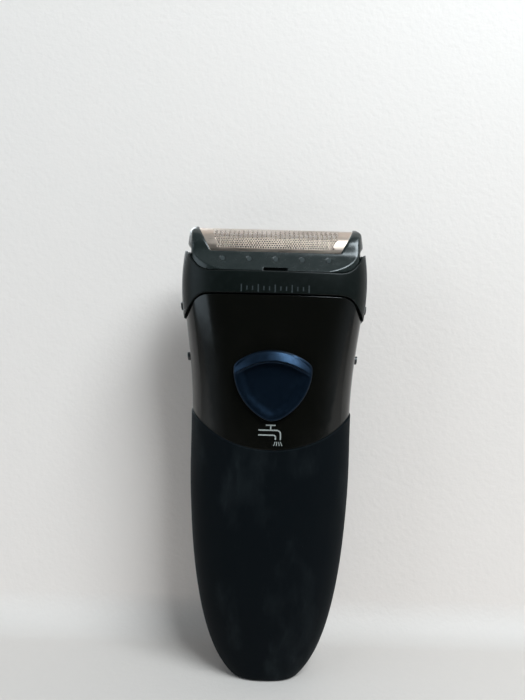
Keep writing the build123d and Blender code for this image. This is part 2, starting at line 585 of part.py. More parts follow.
rod_y = ROD_ARM * cos(radians(ROD_ANGLE))
rod_z = FOIL_CENTRE_Z + ROD_ARM * sin(radians(ROD_ANGLE))
rod_spots = [(-rod_y, rod_z), (rod_y, rod_z)]
with BuildPart() as cheeks:
    for side in (-1, 1):
        cheek_ends = sorted((side * CUTTER_HALF_X, side * (CUTTER_HALF_X + CUTTER_CHEEK)))
        add(rods_along_x([(0, FOIL_CENTRE_Z)], CHEEK_RADIUS, *cheek_ends))
    add(block(-BIG, BIG, -BIG, BIG, FOIL_CENTRE_Z - 3, TOP), mode=Mode.INTERSECT)
with BuildPart() as core:
    add(rods_along_x([(0, FOIL_CENTRE_Z)], CORE_RADIUS, -CUTTER_HALF_X, CUTTER_HALF_X))
    add(block(-BIG, BIG, -BIG, BIG, FOIL_CENTRE_Z - 1, TOP), mode=Mode.INTERSECT)
with BuildPart() as cutter_carrier:
    add(block(-CUTTER_HALF_X, CUTTER_HALF_X, -CARRIER_HALF_Y, CARRIER_HALF_Y, CARRIER_LOW_Z, FOIL_CENTRE_Z))
    chamfer(cutter_carrier.edges().filter_by(Axis.X).group_by(Axis.Z)[0], 1.2)
    add(core.part)
    add(cheeks.part)
    add(rods_along_z([(0, 0)], POST_TOP_RADIUS + 0.05, 115, POST_TOP_Z + FLOAT_TRAVEL + 0.1),
        mode=Mode.SUBTRACT)
    add(rods_along_z([(0, 0)], SPRING_POCKET_RADIUS, 115, SPRING_POCKET_Z), mode=Mode.SUBTRACT)
save(cutter_carrier, "cutter_carrier")

with BuildPart() as cutter_blades:
    for k in range(BLADE_COUNT):
        x = (k - (BLADE_COUNT - 1) / 2) * BLADE_PITCH - BLADE_THICKNESS / 2
        with BuildSketch(Plane.YZ.offset(x)):
            with Locations((0, FOIL_CENTRE_Z)):
                Circle(CUTTER_RADIUS)
                Circle(BLADE_INNER_RADIUS, mode=Mode.SUBTRACT)
                with Locations((0, -BIG / 2)):
                    Rectangle(BIG, BIG, mode=Mode.SUBTRACT)
            with Locations(*rod_spots):
                Circle(ROD_RADIUS + 0.03, mode=Mode.SUBTRACT)
        extrude(amount=BLADE_THICKNESS)
save(cutter_blades, "cutter_blades")

with BuildPart() as blade_rods:
    add(rods_along_x(rod_spots, ROD_RADIUS, -CUTTER_HALF_X, CUTTER_HALF_X))
save(blade_rods, "blade_rods")

# ---------------------------------------------------------------- drive bridge, float spring, seal and deck
BRIDGE_HALF_X, BRIDGE_HALF_Y, BRIDGE_LOW_Z, BRIDGE_TOP_Z = 14.0, 5.0, 107.2, 111.2
SEAT_RADIUS, SEAT_LOW_Z, SEAT_TOP_Z = 3.4, 118.6, 119.2
POST_RADIUS_LOW = 2.5
PIN_RADIUS = 1.0
LEG_THICKNESS, LEG_HALF_Y, LEG_FOOT_X, LEG_FOOT_HEIGHT = 0.48, 4.0, 18.0, 0.58
MOUNT_LOW_Z, MOUNT_HIGH_Z = 101.3, 103.3    # the chassis shelf that the motor hangs from
TOUCH = 0.02                                # gap between pieces that rest on each other
DECK_BORE_RADIUS = 4.5

with BuildPart() as drive_bridge:
    add(block(-BRIDGE_HALF_X, BRIDGE_HALF_X, -BRIDGE_HALF_Y, BRIDGE_HALF_Y, BRIDGE_LOW_Z, BRIDGE_TOP_Z))
    fillet(drive_bridge.edges().filter_by(Axis.Z), 1.5)
    add(rods_along_z([(0, 0)], POST_RADIUS_LOW, BRIDGE_TOP_Z, SEAT_LOW_Z))
    add(rods_along_z([(0, 0)], SEAT_RADIUS, SEAT_LOW_Z, SEAT_TOP_Z))
    add(rods_along_z([(0, 0)], POST_TOP_RADIUS, SEAT_TOP_Z, POST_TOP_Z))
    slot_x = PIN_RADIUS + 2 * STROKE + 0.1
    slot_y = PIN_RADIUS + STROKE + 0.2
    add(block(-slot_x, slot_x, -slot_y, slot_y, 100, 110), mode=Mode.SUBTRACT)
save(drive_bridge, "drive_bridge")

leg_x = BRIDGE_HALF_X + TOUCH
leg_low_z = MOUNT_HIGH_Z + TOUCH
with BuildPart() as flexure_legs:
    for side in (-1, 1):
        add(side_block(side, leg_x, leg_x + LEG_THICKNESS, -LEG_HALF_Y, LEG_HALF_Y,
                       leg_low_z, BRIDGE_TOP_Z - 0.2))
        add(side_block(side, leg_x, LEG_FOOT_X, -LEG_HALF_Y, LEG_HALF_Y,
                       leg_low_z, leg_low_z + LEG_FOOT_HEIGHT))
save(flexure_legs, "flexure_legs")

with BuildPart() as float_spring:
    add(coil(2.8, 0.25, SEAT_TOP_Z + TOUCH, SPRING_POCKET_Z - 2 * TOUCH, 4))
save(float_spring, "float_spring")

with BuildPart() as drive_seal:
    with BuildSketch(Plane.XZ):
        with BuildLine():
            Polyline((7.5, DECK_TOP_Z + TOUCH), (7.5, DECK_TOP_Z + 0.7), (6.6, DECK_TOP_Z + 0.7),
                     (5.2, 116.6), (4.2, 116.8), (3.4, 118.5), (2.55, 118.5), (2.55, 117.9), (3.1, 117.7),
                     (3.8, 116.2), (4.8, 116.0), (5.9, DECK_TOP_Z + TOUCH), close=True)
        make_face()
    revolve(axis=Axis.Z)
save(drive_seal, "drive_seal")

with BuildPart() as head_deck:
    add(rounded_prism(OPENING_X - DECK_GAP, -OPENING_Y + DECK_GAP, OPENING_Y - DECK_GAP, OPENING_CORNER - 0.1,
                      DECK_LOW_Z + TOUCH, DECK_TOP_Z))
    add(rods_along_z([(0, 0)], DECK_BORE_RADIUS, 100, 130), mode=Mode.SUBTRACT)
save(head_deck, "head_deck")

# ---------------------------------------------------------------- long-hair trimmer
TRIMMER_LOW_Z, TRIMMER_HEAD_Z, TRIMMER_TOP_Z = 87.0, 113.8, 118.2
TRIMMER_HEAD_HALF_X = 17.8
BLADE_SLOT_HALF_X, BLADE_SLOT_LOW_Z = 15.6, 114.8
COMB_HALF_X, COMB_FRONT_Y, COMB_REAR_Y, COMB_TOP_Z = 15.4, 15.85, 16.4, 121.0
TRIMMER_BLADE_HALF_X, TRIMMER_BLADE_TOP_Z = 14.3, 120.2
TRIMMER_BLADE_FRONT_Y, TRIMMER_BLADE_REAR_Y = 15.1, 15.75

with BuildPart() as trimmer_plate:
    add(block(-TRIMMER_HALF_X, TRIMMER_HALF_X, TRIMMER_Y, BIG, TRIMMER_LOW_Z, TRIMMER_HEAD_Z + 0.6))
    add(form(HOUSING_SECTIONS, WALL + 0.25), mode=Mode.INTERSECT)
with BuildPart() as trimmer_head:
    add(block(-TRIMMER_HEAD_HALF_X, TRIMMER_HEAD_HALF_X, TRIMMER_Y, BIG, TRIMMER_HEAD_Z, TRIMMER_TOP_Z))
    add(form(HOUSING_SECTIONS, 0.1), mode=Mode.INTERSECT)
with BuildPart() as trimmer_slide:
    add(trimmer_plate.part)
    add(trimmer_head.part)
    add(block(-BLADE_SLOT_HALF_X, BLADE_SLOT_HALF_X, 15.0, 16.5, BLADE_SLOT_LOW_Z, TOP), mode=Mode.SUBTRACT)
save(trimmer_slide, "trimmer_slide")


def toothed_plate(half_x, y_low, y_high, z_low, z_high, pitch, gap, tooth):
    """Flat steel plate with square teeth along its top edge."""
    count = int(2 * half_x / pitch) - 1
    with BuildPart() as plate:
        add(block(-half_x, half_x, y_low, y_high, z_low, z_high))
        with BuildSketch(Plane.XZ):
            with Locations((0, z_high)):
                with GridLocations(pitch, 1, count, 1):
                    Rectangle(gap, 2 * tooth)
        extrude(amount=BIG, both=True, mode=Mode.SUBTRACT)
    return plate.part


with BuildPart() as trimmer_comb:
    add(toothed_plate(COMB_HALF_X, COMB_FRONT_Y, COMB_REAR_Y, BLADE_SLOT_LOW_Z + 0.05, COMB_TOP_Z,
                      pitch=1.2, gap=0.6, tooth=2.4))
save(trimmer_comb, "trimmer_comb")

with BuildPart() as trimmer_cutter:
    add(toothed_plate(TRIMMER_BLADE_HALF_X, TRIMMER_BLADE_FRONT_Y, TRIMMER_BLADE_REAR_Y,
                      BLADE_SLOT_LOW_Z + 0.15, TRIMMER_BLADE_TOP_Z, pitch=1.6, gap=0.8, tooth=1.8))
save(trimmer_cutter, "trimmer_cutter")

with BuildPart() as knob_neck:
    add(form(HOUSING_SECTIONS, -0.6))
    add(form(HOUSING_SECTIONS, WALL + 0.24), mode=Mode.SUBTRACT)
    add(block(-KNOB_NECK_HALF_X, KNOB_NECK_HALF_X, 10, BIG, KNOB_NECK_LOW_Z, KNOB_NECK_HIGH_Z),
        mode=Mode.INTERSECT)
with BuildPart() as trimmer_knob:
    add(form(HOUSING_SECTIONS, -WALL))
    add(form(HOUSING_SECTIONS, -0.2), mode=Mode.SUBTRACT)
    add(block(-KNOB_HALF_X, KNOB_HALF_X, 10, BIG, KNOB_LOW_Z, KNOB_HIGH_Z), mode=Mode.INTERSECT)
    with Locations(*[(0, 20.7, KNOB_LOW_Z + 1.5 + 2 * k) for k in range(3)]):
        Box(20, 1.2, 0.7, mode=Mode.SUBTRACT)
    add(knob_neck.part)
save(trimmer_knob, "trimmer_knob")

# ---------------------------------------------------------------- chassis
CELL_X, CELL_Y, CELL_RADIUS = 7.6, 2.0, 7.1
CELL_LOW_Z, CELL_HIGH_Z = 19.5, 68.4
SHELF_LOW_Z, SHELF_HIGH_Z = 16.8, 18.8      # the shelf under the cells
PLATE_LOW_Y, PLATE_HIGH_Y = -9.8, -8.3      # the upright plate behind the board
PLATE_HALF_X, PLATE_LOW_Z = 13.0, 30.0
CELL_TOP_SHELF_Z = 69.2
RIB_X = 15.4
RIB_FRONT_Y, RIB_REAR_Y = -3.0, 7.0
LEAD_X, LEAD_Y = 3.1, -6.0                  # where the leads run up in front of the cells
BOARD_HOLE_X, BOARD_HOLE_Z = 5.0, 56.0      # where they pass through the plate
MOTOR_SCREW_X = 7.5
MOTOR_BOSS_RADIUS = 3.1
MOUNT_HALF_X, MOUNT_REAR_Y = 19.5, 9.5

cell_spots = [(-CELL_X, CELL_Y), (CELL_X, CELL_Y)]
motor_screw_spots = [(-MOTOR_SCREW_X, 0), (MOTOR_SCREW_X, 0)]
with BuildPart() as chassis_shelves:
    add(block(-BIG, BIG, -5.6, 12, SHELF_LOW_Z, SHELF_HIGH_Z))
    add(block(-BIG, BIG, PLATE_LOW_Y, 10, CELL_TOP_SHELF_Z, CELL_TOP_SHELF_Z + 1.6))
    for side in (-1, 1):
        add(side_block(side, RIB_X, RIB_X + 2, RIB_FRONT_Y, RIB_REAR_Y, PLATE_LOW_Z, MOUNT_HIGH_Z))
    add(block(-1.6, 1.6, -8.5, -4.6, SHELF_LOW_Z, PLATE_LOW_Z + 6))
    add(interior, mode=Mode.INTERSECT)
with BuildPart() as chassis:
    add(chassis_shelves.part)
    add(block(-PLATE_HALF_X, PLATE_HALF_X, PLATE_LOW_Y, PLATE_HIGH_Y, PLATE_LOW_Z, MOUNT_HIGH_Z))
    add(block(-MOUNT_HALF_X, MOUNT_HALF_X, PLATE_LOW_Y, MOUNT_REAR_Y, MOUNT_LOW_Z, MOUNT_HIGH_Z))
    for side in (-1, 1):
        add(side_block(side, RIB_X - 0.4, RIB_X + 1, RIB_FRONT_Y, RIB_REAR_Y,
                       PLATE_LOW_Z, CELL_TOP_SHELF_Z + 0.8))
        add(side_block(side, 12, RIB_X + 2, PLATE_LOW_Y, -2, 96, MOUNT_HIGH_Z))
    add(rods_along_y(screw_spots, SCREW_BOSS_RADIUS, SCREW_TIP_Y - 2, SCREW_PAD_Y - 0.1))
    add(rods_along_y(screw_spots, SCREW_RADIUS + 0.05, SCREW_TIP_Y - 0.5, 20), mode=Mode.SUBTRACT)
    add(rods_along_z(cell_spots, CELL_RADIUS + 0.2, SHELF_HIGH_Z, CELL_TOP_SHELF_Z), mode=Mode.SUBTRACT)
    add(rods_along_z([(0, 0)], MOTOR_BOSS_RADIUS + 0.2, 90, 110), mode=Mode.SUBTRACT)
    add(rods_along_z(motor_screw_spots, 1.05, 90, 110), mode=Mode.SUBTRACT)
    for side in (-1, 1):
        add(side_block(side, LEAD_X - 1.3, LEAD_X + 1.3, -8, -3, SHELF_LOW_Z - 1, SHELF_HIGH_Z + 0.2),
            mode=Mode.SUBTRACT)
        add(side_block(side, BOARD_HOLE_X - 1.2, BOARD_HOLE_X + 1.2, -20, -8,
                       BOARD_HOLE_Z - 2.5, BOARD_HOLE_Z + 3), mode=Mode.SUBTRACT)
save(chassis, "chassis")

# ---------------------------------------------------------------- motor
MOTOR_LOW_Z, MOTOR_HIGH_Z = 75.0, 101.2
CAN_RADIUS, CAN_FLAT_Y, CAN_SHEET = 10.2, 7.7, 0.8
BUSH_RADIUS, BUSH_LOW_Z, BOSS_TOP_Z = 2.2, 99.2, 102.9
SHAFT_RADIUS, SHAFT_LOW_Z, SHAFT_TOP_Z = 1.0, 72.6, 106.6
SHAFT_FIT = 0.03
TERMINAL_X = 6.5
ARMATURE_RADIUS, ARMATURE_LOW_Z, ARMATURE_LENGTH = 6.2, 81.0, 15.0
COMMUTATOR_RADIUS, COMMUTATOR_LOW_Z = 2.6, 76.2
ECCENTRIC_RADIUS, ECCENTRIC_LOW_Z, ECCENTRIC_HEIGHT = 4.5, 103.8, 2.8

shaft_hole = rods_along_z([(0, 0)], SHAFT_RADIUS + SHAFT_FIT, 60, 110)
can_outside = clipped(rods_along_z([(0, 0)], CAN_RADIUS, SHAFT_LOW_Z, MOTOR_HIGH_Z),
                      block(-BIG, BIG, -CAN_FLAT_Y, CAN_FLAT_Y, 0, TOP))
can_inside = clipped(rods_along_z([(0, 0)], CAN_RADIUS - CAN_SHEET, 70, MOTOR_HIGH_Z - 1.2),
                     block(-BIG, BIG, -CAN_FLAT_Y + CAN_SHEET, CAN_FLAT_Y - CAN_SHEET, 0, TOP))
with BuildPart() as motor_can:
    add(clipped(can_outside, block(-BIG, BIG, -BIG, BIG, MOTOR_LOW_Z, TOP)))
    add(rods_along_z([(0, 0)], MOTOR_BOSS_RADIUS, MOTOR_HIGH_Z, BOSS_TOP_Z))
    add(can_inside, mode=Mode.SUBTRACT)
    add(rods_along_z([(0, 0)], BUSH_RADIUS, 90, 110), mode=Mode.SUBTRACT)
    add(rods_along_z(motor_screw_spots, 1.0, 99, 110), mode=Mode.SUBTRACT)
save(motor_can, "motor_can")

with BuildPart() as motor_cap:
    add(clipped(can_outside, block(-BIG, BIG, -BIG, BIG, 0, MOTOR_LOW_Z)))
    add(rods_along_z([(0, 0)], 3.0, SHAFT_LOW_Z - 1.2, SHAFT_LOW_Z))
    add(clipped(shaft_hole, block(-BIG, BIG, -BIG, BIG, SHAFT_LOW_Z - 0.2, 80)), mode=Mode.SUBTRACT)
    for side in (-1, 1):
        add(side_block(side, TERMINAL_X - 0.8, TERMINAL_X + 0.8, -0.35, 0.35, 60, 80), mode=Mode.SUBTRACT)
save(motor_cap, "motor_cap")

with BuildPart() as motor_terminals:
    for side in (-1, 1):
        add(side_block(side, TERMINAL_X - 0.7, TERMINAL_X + 0.7, -0.3, 0.3, 71.2, MOTOR_LOW_Z + 2))
save(motor_terminals, "motor_terminals")

with BuildPart() as motor_magnets:
    add(rods_along_z([(0, 0)], CAN_RADIUS - CAN_SHEET - 0.05, 80, 97))
    add(rods_along_z([(0, 0)], ARMATURE_RADIUS + 0.4, 70, 110), mode=Mode.SUBTRACT)
    add(block(-BIG, BIG, -5, 5, 0, TOP), mode=Mode.INTERSECT)
save(motor_magnets, "motor_magnets")

with BuildPart() as motor_bush:
    add(rods_along_z([(0, 0)], BUSH_RADIUS - 0.02, BUSH_LOW_Z, BOSS_TOP_Z))
    add(shaft_hole, mode=Mode.SUBTRACT)
save(motor_bush, "motor_bush")

with BuildPart() as motor_shaft:
    add(rods_along_z([(0, 0)], SHAFT_RADIUS, SHAFT_LOW_Z, SHAFT_TOP_Z))
save(motor_shaft, "motor_shaft")

with BuildPart() as motor_armature:
    with BuildSketch(Plane.XY.offset(ARMATURE_LOW_Z)):
        Circle(ARMATURE_RADIUS)
        Circle(SHAFT_RADIUS, mode=Mode.SUBTRACT)
        with PolarLocations(4.9, 3):
            Rectangle(3.4, 1.1, mode=Mode.SUBTRACT)
    extrude(amount=ARMATURE_LENGTH)
    with BuildSketch(Plane.XY.offset(COMMUTATOR_LOW_Z)):
        Circle(COMMUTATOR_RADIUS)
        Circle(SHAFT_RADIUS, mode=Mode.SUBTRACT)
    extrude(amount=ARMATURE_LOW_Z - COMMUTATOR_LOW_Z)
save(motor_armature, "motor_armature")

with BuildPart() as eccentric:
    with BuildSketch(Plane.XY.offset(ECCENTRIC_LOW_Z)):
        Circle(ECCENTRIC_RADIUS)
        Circle(SHAFT_RADIUS, mode=Mode.SUBTRACT)
    extrude(amount=ECCENTRIC_HEIGHT)
    with BuildSketch(Plane.XY.offset(ECCENTRIC_LOW_Z + ECCENTRIC_HEIGHT)):
        with Locations((0, STROKE)):
            Circle(PIN_RADIUS)
    extrude(amount=3.0)
save(eccentric, "eccentric")

with BuildPart() as motor_screws:
    add(rods_along_z(motor_screw_spots, 1.8, MOUNT_HIGH_Z, MOUNT_HIGH_Z + 1.1))
    add(rods_along_z(motor_screw_spots, 0.98, 99.6, MOUNT_HIGH_Z))
    with Locations(*[(x, y, MOUNT_HIGH_Z + 1.1) for x, y in motor_screw_spots]):
        Box(2.6, 0.5, 1.0, mode=Mode.SUBTRACT)
save(motor_screws, "motor_screws")

# ---------------------------------------------------------------- cells, board and wiring
CELL_CAP_RADIUS, CELL_CAP_HEIGHT = 2.7, 1.0
BOARD_HALF_X, BOARD_FRONT_Y, BOARD_LOW_Z, BOARD_HIGH_Z = 10.2, -11.3, 53.0, 99.0
BOARD_SCREW_X, BOARD_SCREW_LOW_Z, BOARD_SCREW_HIGH_Z = 8.4, 55.5, 96.5
COMPONENTS = [          # x, z, width and height of the larger parts on the board
    (-5, 62, 6, 5), (4, 63, 4, 3), (0, 56.5, 3, 4), (-5.5, 76.5, 5, 4), (5, 76.5, 4, 3),
]
PIN_SPACING = 2.5
PIN_TOP_Z = 14.0

with BuildPart() as battery_cells:
    add(rods_along_z(cell_spots, CELL_RADIUS, CELL_LOW_Z, CELL_HIGH_Z - CELL_CAP_HEIGHT))
    fillet(battery_cells.edges().filter_by(GeomType.CIRCLE), 0.6)
    add(rods_along_z(cell_spots, CELL_CAP_RADIUS, CELL_HIGH_Z - CELL_CAP_HEIGHT, CELL_HIGH_Z))
save(battery_cells, "battery_cells")

with BuildPart() as cell_contacts:
    add(block(-10.5, 10.5, 0, 4, SHELF_HIGH_Z + TOUCH, CELL_LOW_Z - TOUCH))
    for side in (-1, 1):
        add(side_block(side, 4.5, 10.5, -0.5, 4.5, CELL_HIGH_Z + TOUCH, CELL_TOP_SHELF_Z - TOUCH))
save(cell_contacts, "cell_contacts")

with BuildPart() as circuit_board:
    add(block(-BOARD_HALF_X, BOARD_HALF_X, BOARD_FRONT_Y, PLATE_LOW_Y - 0.1, BOARD_LOW_Z, BOARD_HIGH_Z))
    for z in (BOARD_SCREW_LOW_Z, BOARD_SCREW_HIGH_Z):
        add(rods_along_y([(-BOARD_SCREW_X, z), (BOARD_SCREW_X, z)], 0.9, -20, 0), mode=Mode.SUBTRACT)
save(circuit_board, "circuit_board")

with BuildPart() as board_components:
    for x, z, width, height in COMPONENTS:
        add(block(x - width / 2, x + width / 2, BOARD_FRONT_Y - 0.8, BOARD_FRONT_Y,
                  z - height / 2, z + height / 2))
save(board_components, "board_components")

board_screw_spots = [(-BOARD_SCREW_X, BOARD_SCREW_LOW_Z), (BOARD_SCREW_X, BOARD_SCREW_HIGH_Z)]
with BuildPart() as board_screws:
    add(rods_along_y(board_screw_spots, 1.5, BOARD_FRONT_Y - 0.7, BOARD_FRONT_Y - TOUCH))
    add(rods_along_y(board_screw_spots, 0.8, BOARD_FRONT_Y - TOUCH, PLATE_LOW_Y - TOUCH))
save(board_screws, "board_screws")

lead_path = [
    (PIN_SPACING, 0, PIN_TOP_Z + 0.05),
    (PIN_SPACING, 0, PIN_TOP_Z + 1.5),
    (LEAD_X, LEAD_Y, PIN_TOP_Z + 1.7),
    (LEAD_X, LEAD_Y, BOARD_HOLE_Z - 5),
    (BOARD_HOLE_X, LEAD_Y, BOARD_HOLE_Z),
    (BOARD_HOLE_X, PLATE_LOW_Y, BOARD_HOLE_Z),
]
with BuildPart() as inlet_leads:
    for side in (-1, 1):
        add(lead([(side * x, y, z) for x, y, z in lead_path], bend=1.2, radius=0.45))
save(inlet_leads, "inlet_leads")

# ---------------------------------------------------------------- power inlet in the foot
INLET_LOW_Z, INLET_TOP_Z = 0.3, 13.0
SOCKET_FLOOR_Z = 9.3
FLANGE_HALF_X, FLANGE_HALF_Y, FLANGE_LOW_Z, FLANGE_HIGH_Z = 7.0, 5.2, 3.3, 4.5
FLANGE_CORNER = 2.6
CONTACT_RADIUS, CONTACT_LOW_Z, CONTACT_HIGH_Z = 1.1, 3.0, 9.0
TAIL_RADIUS = 0.9

contact_spots = [(-PIN_SPACING, 0), (PIN_SPACING, 0)]
with BuildPart() as inlet_housing:
    add(rounded_prism(INLET_HALF_X, -INLET_HALF_Y, INLET_HALF_Y, INLET_CORNER - INLET_GAP,
                      INLET_LOW_Z, INLET_TOP_Z))
    add(rounded_prism(FLANGE_HALF_X, -FLANGE_HALF_Y, FLANGE_HALF_Y, FLANGE_CORNER,
                      FLANGE_LOW_Z, FLANGE_HIGH_Z))
    add(rounded_prism(4.7, -2.7, 2.7, 2.65, -1, SOCKET_FLOOR_Z), mode=Mode.SUBTRACT)
    add(rods_along_z(contact_spots, TAIL_RADIUS, 0, 20), mode=Mode.SUBTRACT)
save(inlet_housing, "inlet_housing")

with BuildPart() as inlet_pins:
    add(rods_along_z(contact_spots, CONTACT_RADIUS, CONTACT_LOW_Z, CONTACT_HIGH_Z))
    fillet(inlet_pins.edges().filter_by(GeomType.CIRCLE).group_by(Axis.Z)[0], 0.5)
    add(rods_along_z(contact_spots, TAIL_RADIUS, CONTACT_HIGH_Z, PIN_TOP_Z))
save(inlet_pins, "inlet_pins")

with BuildPart() as inlet_gasket:
    add(rounded_prism(FLANGE_HALF_X, -FLANGE_HALF_Y, FLANGE_HALF_Y, FLANGE_CORNER,
                      FOOT_FLOOR + TOUCH, FLANGE_LOW_Z - TOUCH))
    add(inlet_opening, mode=Mode.SUBTRACT)
save(inlet_gasket, "inlet_gasket")
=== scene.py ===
import json
import random
from math import atan2, cos, hypot, pi, radians, sin, sqrt

import bmesh
import bpy
import numpy as np
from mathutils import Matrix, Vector
from mathutils.bvhtree import BVHTree


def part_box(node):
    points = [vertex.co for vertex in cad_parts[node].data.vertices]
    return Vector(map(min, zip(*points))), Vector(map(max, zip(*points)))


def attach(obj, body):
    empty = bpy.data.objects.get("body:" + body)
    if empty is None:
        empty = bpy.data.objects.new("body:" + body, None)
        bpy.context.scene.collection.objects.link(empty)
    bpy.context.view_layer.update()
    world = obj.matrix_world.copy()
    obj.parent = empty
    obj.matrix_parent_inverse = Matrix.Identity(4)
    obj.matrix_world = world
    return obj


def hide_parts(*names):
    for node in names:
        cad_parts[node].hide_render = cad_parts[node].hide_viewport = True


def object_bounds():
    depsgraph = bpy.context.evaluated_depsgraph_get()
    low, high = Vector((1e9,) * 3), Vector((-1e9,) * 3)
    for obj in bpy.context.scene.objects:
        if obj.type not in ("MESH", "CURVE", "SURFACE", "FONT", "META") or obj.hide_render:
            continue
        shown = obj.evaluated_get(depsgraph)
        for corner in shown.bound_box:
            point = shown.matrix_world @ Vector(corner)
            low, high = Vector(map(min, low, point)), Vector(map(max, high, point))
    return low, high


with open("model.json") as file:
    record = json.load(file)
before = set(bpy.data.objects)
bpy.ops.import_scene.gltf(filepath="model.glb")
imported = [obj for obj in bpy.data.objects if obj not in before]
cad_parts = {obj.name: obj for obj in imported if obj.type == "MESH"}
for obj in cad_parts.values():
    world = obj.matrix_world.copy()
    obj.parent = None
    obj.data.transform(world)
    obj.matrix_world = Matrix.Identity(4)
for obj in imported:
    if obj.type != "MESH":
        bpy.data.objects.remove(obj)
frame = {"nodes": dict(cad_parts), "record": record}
cad_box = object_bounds()
MM = 0.001                  # one millimetre in the frame's metres
NODES = frame["nodes"]
RECORD = frame["record"]


# ---------------------------------------------------------------- measures taken from the frame
def low(node):
    """Lowest corner of a CAD node, in millimetres."""
    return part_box(node)[0] / MM


def high(node):
    """Highest corner of a CAD node, in millimetres."""
    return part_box(node)[1] / MM


# ---------------------------------------------------------------- node material tools
BEVEL_SAMPLES = 6           # rays that each softened edge is worked out from


class Finish:
    """A small builder for procedural materials; coordinates are in metres on the piece itself."""

    def __init__(self, name):
        self.material = bpy.data.materials.new(name)
        self.material.use_nodes = True
        self.tree = self.material.node_tree
        self.bsdf = self.tree.nodes["Principled BSDF"]
        self.coordinates = self.tree.nodes.new("ShaderNodeTexCoord").outputs["Object"]

    def node(self, kind, inputs=None, **settings):
        """Adds one node, sets its properties, and fills or links its inputs."""
        made = self.tree.nodes.new(kind)
        for key, value in settings.items():
            setattr(made, key, value)
        for key, value in (inputs or {}).items():
            self.feed(made.inputs[key], value)
        return made

    def feed(self, socket, value):
        """Links a socket to another output, or gives it a plain value."""
        if isinstance(value, bpy.types.NodeSocket):
            self.tree.links.new(value, socket)
        else:
            socket.default_value = value

    def set(self, **inputs):
        """Fills inputs of the main shader; underscores in names stand for spaces."""
        for key, value in inputs.items():
            self.feed(self.bsdf.inputs[key.replace("_", " ")], value)

    def stretched(self, scale):
        """Coordinates stretched by a different factor along each axis."""
        mapping = self.node("ShaderNodeMapping", {"Vector": self.coordinates, "Scale": scale})
        return mapping.outputs["Vector"]

    def noise(self, size_mm, detail=3.0, roughness=0.5, stretch=(1, 1, 1), distortion=0.0):
        """Cloudy noise whose lumps are about size_mm across, from 0 to 1."""
        made = self.node("ShaderNodeTexNoise", {
            "Vector": self.stretched(stretch),
            "Scale": 1 / (size_mm * MM),
            "Detail": detail,
            "Roughness": roughness,
            "Distortion": distortion,
        })
        return made.outputs["Fac"]

    def cells(self, size_mm):
        """Distance to the nearest point of a scattered set about size_mm apart."""
        made = self.node("ShaderNodeTexVoronoi", {
            "Vector": self.coordinates,
            "Scale": 1 / (size_mm * MM),
        })
        return made.outputs["Distance"]

    def span(self, value, start, end, to_start=0.0, to_end=1.0):
        """Maps start..end to to_start..to_end, held at both ends."""
        made = self.node("ShaderNodeMapRange", {
            "Value": value,
            "From Min": start,
            "From Max": end,
            "To Min": to_start,
            "To Max": to_end,
        })
        return made.outputs["Result"]

    def math(self, operation, a, b=0.0):
        """One arithmetic step."""
        made = self.node("ShaderNodeMath", {0: a, 1: b}, operation=operation)
        return made.outputs[0]

    def blend(self, share, a, b):
        """Colour a where share is 0, colour b where it is 1."""
        made = self.node("ShaderNodeMix", data_type="RGBA")
        self.feed(made.inputs["Factor"], share)
        self.feed(made.inputs["A"], a)
        self.feed(made.inputs["B"], b)
        return made.outputs["Result"]

    def along(self, axis):
        """The piece's own coordinate along x, y or z, in millimetres."""
        split = self.node("ShaderNodeSeparateXYZ", {"Vector": self.coordinates})
        return self.math("MULTIPLY", split.outputs[axis], 1 / MM)

    def relief(self, height, depth_mm, strength=1.0, edge_mm=0.0):
        """Bump of depth_mm, over edges softened to a radius of edge_mm."""
        inputs = {"Height": height, "Distance": depth_mm * MM, "Strength": strength}
        if edge_mm:
            inputs["Normal"] = self.soft_edge(edge_mm)
        made = self.node("ShaderNodeBump", inputs)
        return made.outputs["Normal"]

    def soft_edge(self, radius_mm):
        """Normal rounded over sharp edges."""
        made = self.node("ShaderNodeBevel", {"Radius": radius_mm * MM}, samples=BEVEL_SAMPLES)
        return made.outputs["Normal"]


def rgba(red, green, blue):
    """Linear colour with full cover."""
    return (red, green, blue, 1.0)


def shaded(colour, share):
    """A colour with its three channels multiplied by share."""
    return rgba(*[channel * share for channel in colour])


# ---------------------------------------------------------------- finishes
def soft_touch():
    """Matte blue-black rubber paint with pale dust caught on it."""
    paint_low = rgba(0.0014, 0.0030, 0.0042)
    paint_high = rgba(0.0020, 0.0038, 0.0052)
    dust_colour = rgba(0.040, 0.050, 0.053)
    f = Finish("soft_touch_rubber")
    cloud = f.span(f.noise(14, detail=4, roughness=0.62, stretch=(1, 1, 0.45)), 0.52, 0.72)
    streak = f.span(f.noise(3.2, detail=5, roughness=0.7, stretch=(1, 1, 0.3)), 0.5, 0.75)
    haze = f.math("MULTIPLY", cloud, f.span(streak, 0, 1, to_start=0.35, to_end=1.0))
    specks = f.span(f.cells(1.1), 0.085, 0.03)
    speck_zone = f.span(f.noise(9, detail=2), 0.5, 0.62)
    speckled = f.math("MULTIPLY", specks, f.math("MULTIPLY", speck_zone, 0.5))
    dust = f.math("MAXIMUM", f.math("MULTIPLY", haze, 0.42), speckled)
    paint = f.blend(f.noise(30, detail=2), paint_low, paint_high)
    grain = f.noise(0.16, detail=2, roughness=0.6)
    f.set(
        Base_Color=f.blend(dust, paint, dust_colour),
        Roughness=f.span(grain, 0.3, 0.7, to_start=0.55, to_end=0.66),
        Specular_IOR_Level=0.06,
        Sheen_Weight=0.012,
        Sheen_Roughness=0.4,
        Sheen_Tint=rgba(0.35, 0.42, 0.5),
        Normal=f.relief(grain, 0.012, strength=0.5),
    )
    return f.material


